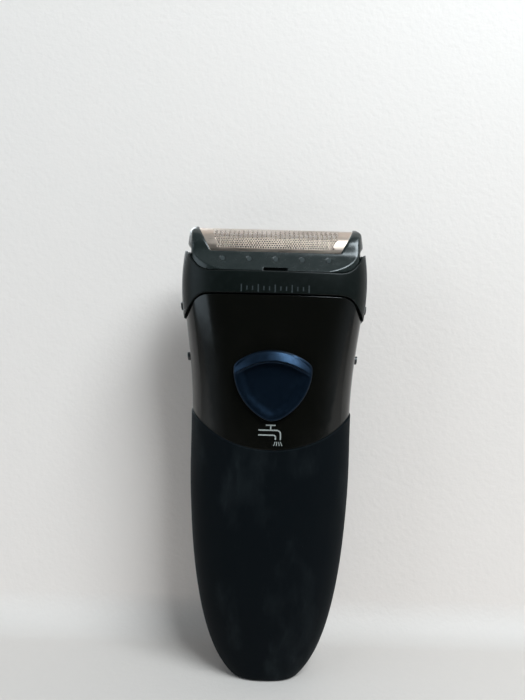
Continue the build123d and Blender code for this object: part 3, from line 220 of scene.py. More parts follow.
def gloss_black(name):
    """Polished black moulding with wipe marks and fine dust."""
    black = rgba(0.0034, 0.0034, 0.0026)
    dust_colour = rgba(0.05, 0.05, 0.048)
    f = Finish(name)
    smear = f.noise(7, detail=4, roughness=0.65, stretch=(1, 1, 0.5), distortion=0.4)
    lint = f.span(f.cells(2.3), 0.035, 0.012)
    f.set(
        Base_Color=f.blend(lint, black, dust_colour),
        Roughness=f.span(smear, 0.35, 0.7, to_start=0.1, to_end=0.2),
        Specular_IOR_Level=0.38,
        Normal=f.relief(f.noise(5, detail=1), 0.02, strength=0.25, edge_mm=0.2),
    )
    return f.material


def satin_dark(name, colour, roughness, shine=0.36, dust=0.03):
    """Fine-textured dark moulding with a little pale dust."""
    dust_colour = rgba(0.10, 0.115, 0.12)
    f = Finish(name)
    grain = f.noise(0.22, detail=2, roughness=0.6)
    mottled = f.blend(f.noise(11, detail=3), rgba(*colour), shaded(colour, 1.25))
    haze = f.math("MULTIPLY", f.span(f.noise(2.4, detail=4, roughness=0.65), 0.5, 0.75), dust)
    f.set(
        Base_Color=f.blend(haze, mottled, dust_colour),
        Roughness=f.span(grain, 0.3, 0.7, to_start=roughness - 0.05, to_end=roughness + 0.07),
        Specular_IOR_Level=shine,
        Normal=f.relief(grain, 0.012, strength=0.5),
    )
    return f.material


def smoked_plastic():
    """Smoked grey-green moulding: dark, with a clear skin."""
    clear_part = rgba(0.007, 0.0108, 0.0098)
    milky_part = rgba(0.013, 0.0175, 0.0162)
    f = Finish("smoked_frame")
    milky = f.noise(3.5, detail=4, roughness=0.6)
    f.set(
        Base_Color=f.blend(milky, clear_part, milky_part),
        Roughness=f.span(milky, 0.3, 0.7, to_start=0.2, to_end=0.3),
        Specular_IOR_Level=0.35,
        Coat_Weight=0.12,
        Coat_Roughness=0.12,
        Normal=f.relief(f.noise(1.2, detail=2), 0.01, strength=0.3),
    )
    return f.material


def foil_nickel():
    """Warm bright nickel, brushed along the foil."""
    bright = rgba(0.60, 0.485, 0.41)
    dull = rgba(0.48, 0.385, 0.32)
    f = Finish("foil_nickel")
    lines = f.noise(0.3, detail=2, roughness=0.6, stretch=(0.05, 1, 1))
    f.set(
        Base_Color=f.blend(f.noise(4, detail=3), bright, dull),
        Metallic=1.0,
        Roughness=f.span(lines, 0.3, 0.7, to_start=0.26, to_end=0.38),
        Normal=f.relief(lines, 0.004, strength=0.5),
    )
    return f.material


def navy_switch():
    """Semi-gloss navy moulding, unevenly rubbed."""
    deep = rgba(0.0010, 0.0022, 0.0042)
    rubbed = rgba(0.0018, 0.0036, 0.0064)
    f = Finish("switch_navy")
    rub = f.noise(1.6, detail=4, roughness=0.6)
    grain = f.noise(0.2, detail=2, roughness=0.6)
    f.set(
        Base_Color=f.blend(rub, deep, rubbed),
        Roughness=f.span(rub, 0.3, 0.7, to_start=0.3, to_end=0.42),
        Specular_IOR_Level=0.38,
        Specular_Tint=rgba(0.28, 0.55, 1.0),
        Normal=f.relief(grain, 0.008, strength=0.4),
    )
    return f.material


def printed_ink(name, colour):
    """Thin printed ink, slightly broken up."""
    f = Finish(name)
    patchy = f.noise(0.5, detail=3, roughness=0.6)
    f.set(
        Base_Color=f.blend(f.span(patchy, 0.35, 0.6), shaded(colour, 0.7), rgba(*colour)),
        Roughness=0.55,
        Specular_IOR_Level=0.3,
        Normal=f.relief(patchy, 0.004, strength=0.5),
    )
    return f.material


# ---------------------------------------------------------------- finishes by class, for the other CAD nodes
def metal(name, colour, roughness, lines_mm=0.12):
    """Drawn or ground metal with fine lines."""
    f = Finish(name)
    lines = f.noise(lines_mm, detail=2, roughness=0.6, stretch=(0.04, 1, 1))
    f.set(
        Base_Color=f.blend(f.noise(6, detail=3), rgba(*colour), shaded(colour, 0.86)),
        Metallic=1.0,
        Roughness=f.span(lines, 0.3, 0.7, to_start=roughness - 0.06, to_end=roughness + 0.1),
        Normal=f.relief(lines, 0.006, strength=0.6, edge_mm=0.08),
    )
    return f.material


def moulded(name, colour, roughness, shine=0.5):
    """Moulded plastic or rubber with fine grain and slight colour change."""
    f = Finish(name)
    grain = f.noise(0.2, detail=2, roughness=0.6)
    f.set(
        Base_Color=f.blend(f.noise(5, detail=3), rgba(*colour), shaded(colour, 0.82)),
        Roughness=f.span(grain, 0.3, 0.7, to_start=roughness - 0.05, to_end=roughness + 0.08),
        Specular_IOR_Level=shine,
        Normal=f.relief(grain, 0.01, strength=0.5, edge_mm=0.12),
    )
    return f.material


CLASS_FINISH = {
    "brushed_steel": lambda name, colour: metal(name, colour, roughness=0.28),
    "chrome": lambda name, colour: metal(name, colour, roughness=0.16),
    "cast_iron": lambda name, colour: metal(name, colour, roughness=0.5, lines_mm=0.4),
    "brass": lambda name, colour: metal(name, colour, roughness=0.25),
    "painted_metal": lambda name, colour: moulded(name, colour, roughness=0.3),
    "rubber": lambda name, colour: moulded(name, colour, roughness=0.7, shine=0.35),
    "matte_plastic": lambda name, colour: moulded(name, colour, roughness=0.45),
    "gloss_plastic": lambda name, colour: moulded(name, colour, roughness=0.15),
}


def own_finishes():
    """The finishes of the slots that the photograph shows closely, and of the dark cutter block, whose
    blades are darkened as painted shade under the foil.
    """
    return {
        "grip_sleeve": soft_touch(),
        "front_cover": gloss_black("gloss_cover"),
        "rear_cover": gloss_black("gloss_rear_cover"),
        "head_ring": satin_dark("head_ring_satin", (0.0026, 0.0044, 0.0038), roughness=0.36, shine=0.16),
        "release_button": satin_dark("release_button_satin", (0.013, 0.0155, 0.0165),
                                     roughness=0.4, dust=0.06),
        "foil_frame": smoked_plastic(),
        # painted shade: the blades' near-black metal makes the holes of the foil look dark
        "cutter_blades": metal("blades_dark_painted_shade", (0.05, 0.044, 0.040), roughness=0.55),
        "cutter_carrier": satin_dark("carrier_satin", (0.012, 0.011, 0.010), roughness=0.6, shine=0.1),
    }


def finish_cad_nodes(finishes):
    """Gives every CAD node its slot's own finish where there is one, and its record class's otherwise."""
    slots = {entry["slot"]: entry for entry in RECORD["materials"]}
    made = dict(finishes)
    for entry in RECORD["subparts"]:
        slot = entry["material_slot"]
        if slot not in made:
            made[slot] = CLASS_FINISH[slots[slot]["class"]](slot, slots[slot]["base_color"][:3])
        node = NODES[entry["node"]]
        node.data.materials.clear()
        node.data.materials.append(made[slot])


# ---------------------------------------------------------------- mesh tools
SOFTENING_SHARE = 0.5       # how far each smoothing pass moves a point towards its neighbours
RAY_START = -100.0          # millimetres: rays along +Y start here, in front of everything


def linked(name, data):
    """A new object in the scene with this name and data."""
    made = bpy.data.objects.new(name, data)
    bpy.context.scene.collection.objects.link(made)
    return made


def shade_smooth(mesh, smooth=True):
    """Shades every face smooth, or every face flat."""
    mesh.polygons.foreach_set("use_smooth", [smooth] * len(mesh.polygons))


def add_piece(name, body, points_mm, faces, material):
    """Makes a smooth-shaded piece from points in millimetres, riding on a body."""
    mesh = bpy.data.meshes.new(name)
    mesh.from_pydata([tuple(c * MM for c in point) for point in points_mm], [], faces)
    shade_smooth(mesh)
    mesh.materials.append(material)
    mesh.validate()
    mesh.update()
    piece = linked(name, mesh)
    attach(piece, body)
    return piece


def face_outwards(piece):
    """Turns every face of a closed piece to look out of it."""
    worked = bmesh.new()
    worked.from_mesh(piece.data)
    bmesh.ops.recalc_face_normals(worked, faces=worked.faces)
    worked.to_mesh(piece.data)
    worked.free()


def smoothstep(value, start, end):
    """0 before start, 1 after end, smooth between."""
    t = np.clip((value - start) / (end - start), 0, 1)
    return t * t * (3 - 2 * t)


def relaxed(points, edges, share, passes):
    """Moves each point by its share of the way to the middle of its neighbours, pass after pass."""
    ends = np.concatenate([edges[:, 0], edges[:, 1]])
    others = np.concatenate([edges[:, 1], edges[:, 0]])
    count = np.bincount(ends, minlength=len(points))
    for _ in range(passes):
        middle = [np.bincount(ends, points[others, axis], len(points)) / count for axis in range(3)]
        points = points + share[:, None] * (np.stack(middle, axis=1) - points)
    return points


def softened(node, body, material, voxel_mm, passes, extra=None, extra_passes=0):
    """A finer copy of a CAD node with its edges rounded, which stands for the node.

    extra gives each point's share of the extra passes, from the points in millimetres.
    """
    rough = linked("rough", NODES[node].data.copy())
    remesh = rough.modifiers.new("remesh", "REMESH")
    remesh.mode = "VOXEL"
    remesh.voxel_size = voxel_mm * MM
    graph = bpy.context.evaluated_depsgraph_get()
    mesh = bpy.data.meshes.new_from_object(rough.evaluated_get(graph))
    bpy.data.objects.remove(rough)
    points = np.empty(len(mesh.vertices) * 3)
    mesh.vertices.foreach_get("co", points)
    points = points.reshape(-1, 3) / MM
    edges = np.empty(len(mesh.edges) * 2, dtype=int)
    mesh.edges.foreach_get("vertices", edges)
    edges = edges.reshape(-1, 2)
    points = relaxed(points, edges, np.full(len(points), SOFTENING_SHARE), passes)
    if extra:
        points = relaxed(points, edges, SOFTENING_SHARE * extra(points), extra_passes)
    mesh.vertices.foreach_set("co", (points * MM).ravel())
    shade_smooth(mesh)
    mesh.materials.clear()
    mesh.materials.append(material)
    mesh.update()
    piece = linked(f"{node}_moulding", mesh)
    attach(piece, body)
    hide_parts(node)


class Surface:
    """The front of a CAD node, as a y at each x and z, in millimetres."""

    def __init__(self, node):
        mesh = NODES[node].data
        points = [vertex.co for vertex in mesh.vertices]
        self.tree = BVHTree.FromPolygons(points, [tuple(p.vertices) for p in mesh.polygons])

    def y(self, x, z):
        """Where a line along +Y first meets the node, or None."""
        hit = self.tree.ray_cast(Vector((x, RAY_START, z)) * MM, Vector((0, 1, 0)))[0]
        return hit.y / MM if hit else None


# ---------------------------------------------------------------- mouldings of the head
RIDGE_ABOVE_RING = 1.5      # the foil frame's shoulders are level this far above the ring
SHOULDER_RISE = (-2.8, -0.3)    # heights from that level over which their extra softening sets in
SHOULDER_SIDE = (19.0, 22.0)    # and the same, measured from the middle out


def on_shoulders(points):
    """1 on the upper shoulders of the foil frame, 0 elsewhere."""
    ridge = high("head_ring").z + RIDGE_ABOVE_RING
    climb = smoothstep(points[:, 2], ridge + SHOULDER_RISE[0], ridge + SHOULDER_RISE[1])
    return climb * smoothstep(np.abs(points[:, 0]), *SHOULDER_SIDE)


def make_mouldings(finishes):
    """The mouldings of the head, with their edges rounded."""
    button = finishes["release_button"]
    softened("head_ring", "housing", finishes["head_ring"], voxel_mm=0.2, passes=4)
    softened("foil_frame", "foil_head", finishes["foil_frame"], voxel_mm=0.16, passes=4,
             extra=on_shoulders, extra_passes=60)
    softened("release_button_left", "release_left", button, voxel_mm=0.12, passes=5)
    softened("release_button_right", "release_right", button, voxel_mm=0.12, passes=5)


# ---------------------------------------------------------------- perforated foil
FOIL_PITCH = 0.74           # millimetres between holes
FOIL_HOLE_SHARE = 0.74      # a hole's width as a share of its cell
FOIL_SHEET = 0.06
FOIL_LEG_INSET = 1.7        # the straight legs are narrower than the arch by this much on each side
FOIL_MARGIN_TOP = 4.4       # plain metal at each end, at the crown and down by the frame
FOIL_MARGIN_LOW = 7.2
FOIL_STRIP = 1.3            # plain strip along the frame
HOLE_SPREAD = (0.88, 1.08)  # the holes are uneven: in size,
HOLE_LEAN = 0.08            # in how far they lean,
HOLE_STRETCH = (0.86, 1.12)     # and in how wide they are for their height
CELL_SIDES = 6
CORNER_GRID = 12            # steps per pitch that tell one cell corner from the next
FOIL_SEED = 4


class FoilSheet:
    """The arched sheet: an arch between two straight legs, unrolled as x and a distance along it."""

    def __init__(self):
        self.half_x = high("foil").x
        self.radius = high("foil").y
        self.centre_z = high("foil").z - self.radius
        self.leg = self.centre_z - low("foil").z
        self.arc = pi * self.radius
        self.points = []
        self.corners = {}

    def place(self, x, along):
        """Point on the sheet, from a distance along the arch that starts at its front edge."""
        x = max(-self.half_x, min(self.half_x, x))
        if along < 0:
            return (x, -self.radius, self.centre_z + along)
        if along > self.arc:
            return (x, self.radius, self.centre_z - (along - self.arc))
        turn = along / self.radius
        return (x, -self.radius * cos(turn), self.centre_z + self.radius * sin(turn))

    def point(self, x, along):
        """Index of a new point."""
        self.points.append(self.place(x, along))
        return len(self.points) - 1

    def corner(self, x, along):
        """Index of a cell corner, shared between neighbouring cells."""
        key = (round(x / FOIL_PITCH * CORNER_GRID), round(along / FOIL_PITCH * CORNER_GRID))
        if key not in self.corners:
            self.corners[key] = self.point(x, along)
        return self.corners[key]

    def pierced(self, x, along):
        """Whether the cell at this place has a hole."""
        height = sin(along / self.radius) if 0 <= along <= self.arc else 0.0
        margin = FOIL_MARGIN_LOW + (FOIL_MARGIN_TOP - FOIL_MARGIN_LOW) * height
        return FOIL_STRIP < along < self.arc - FOIL_STRIP and abs(x) < self.half_x - margin


def uneven_hole(ring, x, along, rng):
    """Corners of a slightly uneven hole inside the ring of corners of the cell at x and along."""
    share = FOIL_HOLE_SHARE * rng.uniform(*HOLE_SPREAD)
    lean = rng.uniform(-HOLE_LEAN, HOLE_LEAN)
    stretch = rng.uniform(*HOLE_STRETCH)
    hole = []
    for corner_x, corner_along in ring:
        across = (corner_x - x) * share * stretch
        up = (corner_along - along) * share / stretch
        hole.append((x + across + lean * up, along + up))
    return hole


def make_foil():
    """An arched sheet of hexagonal cells with a slightly uneven hole in each."""
    rng = random.Random(FOIL_SEED)
    sheet = FoilSheet()
    side = FOIL_PITCH / sqrt(3)
    row_step = 1.5 * side
    faces = []
    for row in range(int((sheet.arc + 2 * sheet.leg) / row_step) + 1):
        along = -sheet.leg + row * row_step
        offset = FOIL_PITCH / 2 if row % 2 else 0.0
        on_leg = along < -side or along > sheet.arc + side
        reach = sheet.half_x - FOIL_LEG_INSET if on_leg else sheet.half_x
        columns = int(reach / FOIL_PITCH)
        for column in range(-columns - 1, columns + 1):
            x = column * FOIL_PITCH + offset
            if abs(x) > reach - side / 2:
                continue
            ring = []
            for k in range(CELL_SIDES):
                turn = pi / 6 + k * pi / 3
                ring.append((x + side * cos(turn), along + side * sin(turn)))
            cell = [sheet.corner(*place) for place in ring]
            if not sheet.pierced(x, along):
                faces.append(cell)
                continue
            hole = [sheet.point(*place) for place in uneven_hole(ring, x, along, rng)]
            for k in range(CELL_SIDES):
                m = (k + 1) % CELL_SIDES
                faces.append((cell[k], cell[m], hole[m], hole[k]))
    screen = add_piece("foil_screen", "foil_head", sheet.points, faces, foil_nickel())
    thick = screen.modifiers.new("sheet", "SOLIDIFY")
    thick.thickness = FOIL_SHEET * MM
    thick.offset = -1
    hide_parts("foil")


# ---------------------------------------------------------------- thumb switch
SHOULDER_DROP = 4.3         # the outline's corners, from its top,
FLANK_RISE = 7.2            # and the bend of its sides and the ends of its tip, from its bottom
TIP_RISE = 1.1
FLANK_SHARE = 0.81          # half width at that bend, as a share of the widest
TIP_HALF = 3.2
CORNER_PASSES = 14          # smoothing passes that round the outline's corners
LIP_BAND = 3.0              # height of the pale band under the crown, on the centre line
LIP_BAND_END = 1.5          # and near the shoulders
LIP_CREST = 2.45            # how far the crest stands out
LIP_FACE = 0.45             # height of the steep face under it
RIM = 1.15                  # how far the rim round the dish stands out
CROWN_SHARE = 0.8           # share of that where the band starts, at the crown
CROWN_SWELL = 0.8           # power of the band's swell out to the crest
RIM_WIDTH = 1.5
RIM_TOP = 0.55              # the rim falls into the dish between these shares of its width
RIM_FOOT = 2.6
DISH = 0.5                  # how far the bottom of the dish stands out
DISH_RISE = 1.0             # its middle lies this far above the middle of the outline
EDGE_HEIGHT = 0.12          # the outer edge rises by this, then rounds over within the edge's width
EDGE_WIDTH = 0.55
SWITCH_GAP = 0.15           # all of that is measured from this far off the cover
SWITCH_ROOT = 0.9           # and the wall goes this deep behind the cover's own form
EDGE_LEVELS = [0, 0.008, 0.02, 0.035, 0.05]     # shares of the way in, crowded on the rounded edge
DISH_LEVELS = np.linspace(0.07, 0.97, 58)
FIT_BELOW = 1.5             # the cover is measured this far under and over the switch
FIT_ABOVE = 8.0
FIT_SPOTS = 10              # at this many places on each side of the middle


def arc_points(start, middle, end, count):
    """Points along the circular arc through three points, without the last."""
    (ax, ay), (bx, by), (cx, cy) = start, middle, end
    spread = 2 * (ax * (by - cy) + bx * (cy - ay) + cx * (ay - by))
    a2, b2, c2 = ax * ax + ay * ay, bx * bx + by * by, cx * cx + cy * cy
    centre_x = (a2 * (by - cy) + b2 * (cy - ay) + c2 * (ay - by)) / spread
    centre_y = (a2 * (cx - bx) + b2 * (ax - cx) + c2 * (bx - ax)) / spread
    radius = hypot(ax - centre_x, ay - centre_y)
    first = atan2(ay - centre_y, ax - centre_x)
    via = (atan2(by - centre_y, bx - centre_x) - first) % (2 * pi)
    sweep = (atan2(cy - centre_y, cx - centre_x) - first) % (2 * pi)
    if via > sweep:
        sweep -= 2 * pi
    turns = first + sweep * np.arange(count) / count
    return np.stack([centre_x + radius * np.cos(turns), centre_y + radius * np.sin(turns)], axis=1)


def shield_outline():
    """Outline of the switch seen from the front, with its corners rounded."""
    half = high("power_switch").x
    bottom, top = low("power_switch").z, high("power_switch").z
    shoulder, flank, tip = top - SHOULDER_DROP, bottom + FLANK_RISE, bottom + TIP_RISE
    sides = [
        arc_points((-half, shoulder), (0, top), (half, shoulder), count=60),
        arc_points((half, shoulder), (FLANK_SHARE * half, flank), (TIP_HALF, tip), count=45),
        arc_points((TIP_HALF, tip), (0, bottom), (-TIP_HALF, tip), count=15),
        arc_points((-TIP_HALF, tip), (-FLANK_SHARE * half, flank), (-half, shoulder), count=45),
    ]
    outline = np.concatenate(sides)
    for _ in range(CORNER_PASSES):
        outline = (np.roll(outline, 1, axis=0) + 2 * outline + np.roll(outline, -1, axis=0)) / 4
    return outline


def fit_depth(cover, half):
    """The cover's own form behind the switch, ignoring its hollow, as a smooth function of x and z."""
    spots = []
    for z in (low("power_switch").z - FIT_BELOW, high("power_switch").z + FIT_ABOVE):
        for k in range(-FIT_SPOTS, FIT_SPOTS + 1):
            x = k / FIT_SPOTS * half
            y = cover.y(x, z)
            if y is not None:
                spots.append((1, x * x, abs(x) ** 3, z, y))
    table = np.array(spots)
    shape = np.linalg.lstsq(table[:, :4], table[:, 4], rcond=None)[0]
    return lambda x, z: shape[0] + shape[1] * x * x + shape[2] * abs(x) ** 3 + shape[3] * z


def switch_relief(outline):
    """How far the switch stands out, as a function of points and their distance from the outline."""
    half = high("power_switch").x
    top = outline[:, 1].max()
    shoulder = outline[np.argmax(outline[:, 0])][1]

    def stand_off(points, inset):
        """How far the surface stands out at points that lie inset from the outline."""
        x, z = points[:, 0], points[:, 1]
        below = top - (top - shoulder) * (x / half) ** 2 - z
        band = LIP_BAND - (LIP_BAND - LIP_BAND_END) * (x / half) ** 2
        crest = LIP_CREST - (LIP_CREST - RIM) * np.abs(x / half) ** 3
        crown = RIM * CROWN_SHARE
        lip = crown + (crest - crown) * np.clip(below / band, 0, 1) ** CROWN_SWELL
        dish = DISH + (RIM - DISH) * (1 - smoothstep(inset, RIM_WIDTH * RIM_TOP, RIM_WIDTH * RIM_FOOT))
        face = lip + (dish - lip) * smoothstep(below, band, band + LIP_FACE)
        edge = np.sqrt(np.clip(1 - (1 - np.clip(inset / EDGE_WIDTH, 0, 1)) ** 2, 0, 1))
        return EDGE_HEIGHT + (face - EDGE_HEIGHT) * edge

    return stand_off


def make_switch():
    """The thumb switch: a pale lip under the crown, a steep face below it, and a rimmed dish."""
    outline = shield_outline()
    stand_off = switch_relief(outline)
    base_y = fit_depth(Surface("front_cover"), high("power_switch").x)
    middle = np.array([0.0, (outline[:, 1].min() + outline[:, 1].max()) / 2 + DISH_RISE])
    levels = EDGE_LEVELS + list(DISH_LEVELS)
    count = len(outline)
    points = [(x, base_y(x, z) + SWITCH_ROOT, z) for x, z in outline]
    for level in levels:
        loop = outline + (middle - outline) * level
        gaps = np.linalg.norm(loop[:, None, :] - outline[None, :, :], axis=2)
        heights = stand_off(loop, gaps.min(axis=1))
        points += [(x, base_y(x, z) - SWITCH_GAP - out, z) for (x, z), out in zip(loop, heights)]
    faces = []
    for ring in range(len(levels)):
        here, beyond = ring * count, (ring + 1) * count
        for k in range(count):
            m = (k + 1) % count
            faces.append((here + k, here + m, beyond + m, beyond + k))
    last = len(levels) * count
    faces.append([last + k for k in range(count)])
    faces.append(list(reversed(range(count))))
    switch = add_piece("thumb_switch", "switch", points, faces, navy_switch())
    face_outwards(switch)
    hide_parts("power_switch")


# ---------------------------------------------------------------- printed marks
INK_LIFT = 0.02             # the ink lies this far off the surface
INK_THICKNESS = 0.03
INK_STEP = 0.15             # strokes follow the surface in steps no longer than about this
PIPE_LINE = 0.36            # widths of the tap symbol's lines
DROP_LINE = 0.22
TAP_DROP = 2.4              # the tap's pipe starts this far below the switch
PIPE_HEIGHT = 1.4
PIPE_START = -3.7           # and runs from here, on the left, to its bend
HANDLE_RISE = 1.4           # the handle's bar, above the pipe, on a short stem
HANDLE_REACH = (-1.6, 1.2)
STEM_X = -0.2
STEM_GAP = 0.1
OUTER_BEND = 1.1            # radii of the pipe's bend
INNER_BEND = 0.6
SPOUT_INNER = 1.2           # the spout's two sides
SPOUT_OUTER = 2.6
SPOUT_DROP = 1.3            # its mouth, from the pipe's lower side
BEND_STEPS = 6
DROPS = 4                   # lines of falling water under the mouth, fanning out
FIRST_DROP_X = 1.15
DROP_PITCH = 0.5
DROP_SPREAD = 0.3
DROP_TOP = 0.55
DROP_FOOT = 1.7
TICKS_PER_SIDE = 6          # the ring's row of ticks, in which every third is long
TICK_PITCH = 1.6
TICK_LINE = 0.35
TICK_LONG = 1.1
TICK_SHORT = 0.6


def dense_line(corners):
    """The same line, with points at most about a step apart."""
    dense = []
    for (x0, z0), (x1, z1) in zip(corners, corners[1:]):
        steps = max(1, int(hypot(x1 - x0, z1 - z0) / INK_STEP))
        dense += [(x0 + (x1 - x0) * k / steps, z0 + (z1 - z0) * k / steps) for k in range(steps)]
    return dense + [corners[-1]]


def strokes_piece(name, node, strokes, material):
    """Printed strokes laid on the front of a CAD node: each is a width and a line of (x, z) points."""
    surface = Surface(node)
    points, faces = [], []
    for width, corners in strokes:
        line = dense_line(corners)
        first = len(points)
        for k, (x, z) in enumerate(line):
            (ax, az), (bx, bz) = line[max(0, k - 1)], line[min(len(line) - 1, k + 1)]
            length = hypot(bx - ax, bz - az)
            side_x, side_z = -(bz - az) / length * width / 2, (bx - ax) / length * width / 2
            for side in (-1, 1):
                edge_x, edge_z = x + side * side_x, z + side * side_z
                y = surface.y(edge_x, edge_z) - INK_LIFT
                points += [(edge_x, y - INK_THICKNESS, edge_z), (edge_x, y, edge_z)]
        for k in range(len(line) - 1):
            a, b = first + 4 * k, first + 4 * k + 4
            faces += [(a, b, b + 2, a + 2), (a + 1, a + 3, b + 3, b + 1)]
            faces += [(a, a + 1, b + 1, b), (a + 2, b + 2, b + 3, a + 3)]
        last = first + 4 * (len(line) - 1)
        faces += [(first, first + 2, first + 3, first + 1), (last, last + 1, last + 3, last + 2)]
    piece = add_piece(name, "housing", points, faces, material)
    shade_smooth(piece.data, smooth=False)
    face_outwards(piece)


def quarter_turn(centre_x, centre_z, radius):
    """Points from the top of a circle round to its right-hand side."""
    turns = [pi / 2 * (1 - k / BEND_STEPS) for k in range(BEND_STEPS + 1)]
    return [(centre_x + radius * cos(t), centre_z + radius * sin(t)) for t in turns]


def make_wash_symbol():
    """A plain tap with falling water: it may be washed under the tap."""
    pipe_top = low("power_switch").z - TAP_DROP
    pipe_low = pipe_top - PIPE_HEIGHT
    mouth = pipe_low - SPOUT_DROP
    handle = pipe_top + HANDLE_RISE
    outer = quarter_turn(SPOUT_OUTER - OUTER_BEND, pipe_top - OUTER_BEND, OUTER_BEND)
    inner = quarter_turn(SPOUT_INNER - INNER_BEND, pipe_low - INNER_BEND, INNER_BEND)
    strokes = [
        (PIPE_LINE, [(HANDLE_REACH[0], handle), (HANDLE_REACH[1], handle)]),
        (PIPE_LINE, [(STEM_X, handle - STEM_GAP), (STEM_X, pipe_top + STEM_GAP)]),
        (PIPE_LINE, [(PIPE_START, pipe_top)] + outer + [(SPOUT_OUTER, mouth)]),
        (PIPE_LINE, [(PIPE_START, pipe_low)] + inner + [(SPOUT_INNER, mouth)]),
    ]
    for k in range(DROPS):
        top_x = FIRST_DROP_X + DROP_PITCH * k
        lean = (k - (DROPS - 1) / 2) * DROP_SPREAD
        strokes.append((DROP_LINE, [(top_x, mouth - DROP_TOP), (top_x + lean, mouth - DROP_FOOT)]))
    strokes_piece("wash_symbol", "front_cover", strokes, printed_ink("pale_ink", (0.36, 0.38, 0.36)))


def make_ring_marks():
    """A faint row of plain ticks across the front of the head ring."""
    middle_z = (high("front_cover").z + low("foil_frame").z) / 2
    strokes = []
    for k in range(-TICKS_PER_SIDE, TICKS_PER_SIDE + 1):
        reach = TICK_LONG if k % 3 == 0 else TICK_SHORT
        x = k * TICK_PITCH
        strokes.append((TICK_LINE, [(x, middle_z - reach), (x, middle_z + reach)]))
    strokes_piece("ring_marks", "head_ring", strokes, printed_ink("faint_ink", (0.030, 0.038, 0.040)))


# ---------------------------------------------------------------- stage, light and camera
STAGE_REACH = 1.2           # metres, like everything in this section
FLOOR_REACH = 0.24          # the floor ends just in front of the camera
COVE = 0.012                # radius of the curve from the floor up into the wall
COVE_STEPS = 12
WALL_GAP = 0.001            # the wall stands this far behind the object
GRAZING = 0.5               # below this cosine of the view's angle the wall is clear
ROOM_DIRECTION = (0.05, -1.0, 0.05)     # towards the dim room behind the camera
ROOM_EDGE = (0.35, 0.9)     # cosines from that direction between which daylight fades into the room
SKY_STRENGTH = 0.34
SKY_COLOUR = rgba(0.80, 0.92, 1.0)
ROOM_STRENGTH = 0.015
SEEN_STRENGTH = 0.62        # and what the camera sees where there is no stage
SEEN_COLOUR = rgba(1.0, 1.0, 0.985)
LIGHT_SIZE = 0.4
DAYLIGHT = (0.83, 0.94, 1.0)
CAMERA_LENS = 28.0          # millimetres
CAMERA_PLACE = (-0.00312, -0.169, 0.0976)
CAMERA_ROLL = -1.55         # degrees
CAMERA_NEAR = 0.005
CAMERA_FAR = 20.0


def pale_surface():
    """Pale paint on floor and wall, with painted shade making the floor darker than the wall; its wall is
    seen only from in front, so that it never hides the object.
    """
    # painted shade: the floor's colour is darker than the wall's to even out the stronger light that falls
    # on it from above
    floor_painted_shade_colour = rgba(0.57, 0.515, 0.48)
    wall_colour = rgba(0.84, 0.755, 0.705)
    f = Finish("pale_paint")
    peel = f.noise(1.6, detail=2, roughness=0.5)
    wall = f.span(f.along("Z"), 0, COVE / MM)
    f.set(
        Base_Color=f.blend(wall, floor_painted_shade_colour, wall_colour),
        Roughness=0.6,
        Specular_IOR_Level=0.3,
        Normal=f.relief(peel, 0.12, strength=0.8),
    )
    geometry = f.node("ShaderNodeNewGeometry").outputs
    view = {0: geometry["Incoming"], 1: geometry["True Normal"]}
    facing = f.node("ShaderNodeVectorMath", view, operation="DOT_PRODUCT").outputs["Value"]
    aslant = f.math("LESS_THAN", facing, f.math("MULTIPLY", wall, GRAZING))
    seen = f.node("ShaderNodeLightPath").outputs["Is Camera Ray"]
    hidden = f.math("MAXIMUM", geometry["Backfacing"], f.math("MULTIPLY", seen, aslant))
    clear = f.node("ShaderNodeBsdfTransparent").outputs["BSDF"]
    mix = f.node("ShaderNodeMixShader", {0: hidden, 1: f.bsdf.outputs["BSDF"], 2: clear})
    f.feed(f.tree.nodes["Material Output"].inputs["Surface"], mix.outputs["Shader"])
    return f.material


def stage_sheet(name, points, faces, material):
    """A sheet of the stage, from points in metres."""
    mesh = bpy.data.meshes.new(name)
    mesh.from_pydata(points, [], faces)
    mesh.materials.append(material)
    sheet = linked(name, mesh)
    return sheet


def make_stage():
    """A floor under the foot, curving up into the surface just behind the back of the object."""
    paint = pale_surface()
    wall_y = cad_box[1].y + WALL_GAP
    profile = [(-FLOOR_REACH, 0.0), (wall_y - COVE, 0.0)]
    for k in range(1, COVE_STEPS):
        turn = pi / 2 * k / COVE_STEPS
        profile.append((wall_y - COVE + COVE * sin(turn), COVE - COVE * cos(turn)))
    profile += [(wall_y, COVE), (wall_y, STAGE_REACH)]
    points = []
    for y, z in profile:
        points += [(-STAGE_REACH, y, z), (STAGE_REACH, y, z)]
    faces = [(2 * k, 2 * k + 1, 2 * k + 3, 2 * k + 2) for k in range(len(profile) - 1)]
    backdrop = stage_sheet("backdrop", points, faces, paint)
    shade_smooth(backdrop.data)
    points, faces = [], []
    for near, far in ((-STAGE_REACH, -FLOOR_REACH), (wall_y - COVE, STAGE_REACH)):
        faces.append([len(points) + k for k in range(4)])
        points += [(-STAGE_REACH, near, 0), (STAGE_REACH, near, 0)]
        points += [(STAGE_REACH, far, 0), (-STAGE_REACH, far, 0)]
    floor_beyond = stage_sheet("floor_beyond", points, faces, paint)
    floor_beyond.visible_glossy = False
    floor_beyond.visible_diffuse = False
    return backdrop


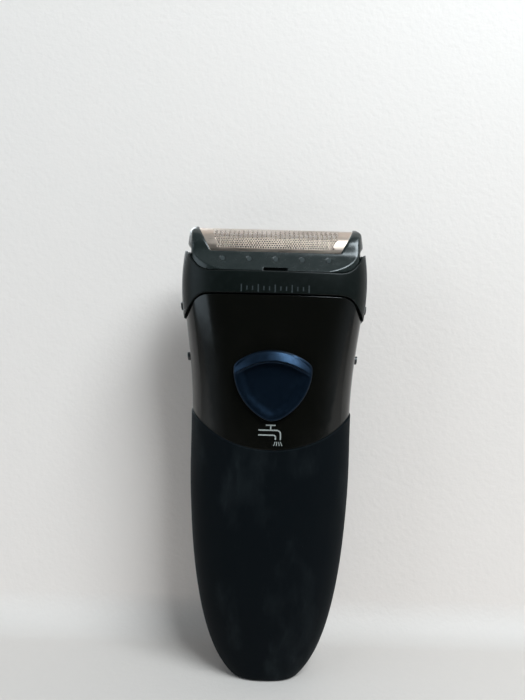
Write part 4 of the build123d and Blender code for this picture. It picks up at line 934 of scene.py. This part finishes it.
def make_world():
    """Soft daylight all round, with a dim room behind the camera; the camera itself sees a pale grey."""
    world = bpy.data.worlds.new("daylight")
    bpy.context.scene.world = world
    world.use_nodes = True
    tree = world.node_tree
    background = tree.nodes["Background"]
    coordinates = tree.nodes.new("ShaderNodeTexCoord")
    towards_room = tree.nodes.new("ShaderNodeVectorMath")
    towards_room.operation = "DOT_PRODUCT"
    tree.links.new(coordinates.outputs["Generated"], towards_room.inputs[0])
    towards_room.inputs[1].default_value = ROOM_DIRECTION
    ramp = tree.nodes.new("ShaderNodeMapRange")
    ramp.interpolation_type = "SMOOTHSTEP"
    ramp.inputs["From Min"].default_value = ROOM_EDGE[0]
    ramp.inputs["From Max"].default_value = ROOM_EDGE[1]
    ramp.inputs["To Min"].default_value = SKY_STRENGTH
    ramp.inputs["To Max"].default_value = ROOM_STRENGTH
    tree.links.new(towards_room.outputs["Value"], ramp.inputs["Value"])
    path = tree.nodes.new("ShaderNodeLightPath")
    strength = tree.nodes.new("ShaderNodeMix")
    tree.links.new(path.outputs["Is Camera Ray"], strength.inputs["Factor"])
    tree.links.new(ramp.outputs["Result"], strength.inputs["A"])
    strength.inputs["B"].default_value = SEEN_STRENGTH
    tree.links.new(strength.outputs["Result"], background.inputs["Strength"])
    tint = tree.nodes.new("ShaderNodeMix")
    tint.data_type = "RGBA"
    tree.links.new(path.outputs["Is Camera Ray"], tint.inputs["Factor"])
    tint.inputs["A"].default_value = SKY_COLOUR
    tint.inputs["B"].default_value = SEEN_COLOUR
    tree.links.new(tint.outputs["Result"], background.inputs["Color"])


def area_light(name, place, target, power, colour=DAYLIGHT):
    """Square soft light at place, aimed at target, in metres and watts."""
    data = bpy.data.lights.new(name, "AREA")
    data.shape = "SQUARE"
    data.size = LIGHT_SIZE
    data.energy = power
    data.color = colour
    light = linked(name, data)
    light.location = place
    light.rotation_euler = (Vector(target) - Vector(place)).to_track_quat("-Z", "Y").to_euler()
    return light


def pass_by(light, stage_object):
    """The light neither falls on a stage object nor is held back by it."""
    others = bpy.data.collections.new(f"{light.name}_passes")
    others.objects.link(stage_object)
    others.collection_objects[0].light_linking.link_state = "EXCLUDE"
    light.light_linking.receiver_collection = others
    light.light_linking.blocker_collection = others


def make_lights(backdrop):
    """A window high on the right, a light behind that reaches through the backdrop, and a weak fill."""
    area_light("window", place=(0.33, -0.42, 0.70), target=(0, 0, 0.12), power=8.6)
    rear = area_light("rear", place=(-0.35, 0.50, 0.55), target=(0, 0, 0.09), power=5.0)
    pass_by(rear, backdrop)
    area_light("fill", place=(-0.5, -0.25, 0.25), target=(0, 0, 0.07), power=0.9, colour=(0.75, 0.90, 1.0))


def make_camera():
    """The camera in front of the object, a little to its left, turned by the photograph's roll."""
    data = bpy.data.cameras.new("camera")
    data.lens = CAMERA_LENS
    data.clip_start = CAMERA_NEAR
    data.clip_end = CAMERA_FAR
    camera = linked("camera", data)
    camera.location = CAMERA_PLACE
    camera.rotation_euler = (radians(90), radians(CAMERA_ROLL), 0)
    bpy.context.scene.camera = camera


# ---------------------------------------------------------------- the whole scene
finishes = own_finishes()
finish_cad_nodes(finishes)
make_mouldings(finishes)
make_foil()
make_switch()
make_wash_symbol()
make_ring_marks()
backdrop = make_stage()
make_world()
make_lights(backdrop)
make_camera()
bpy.context.scene.view_settings.view_transform = "Standard"
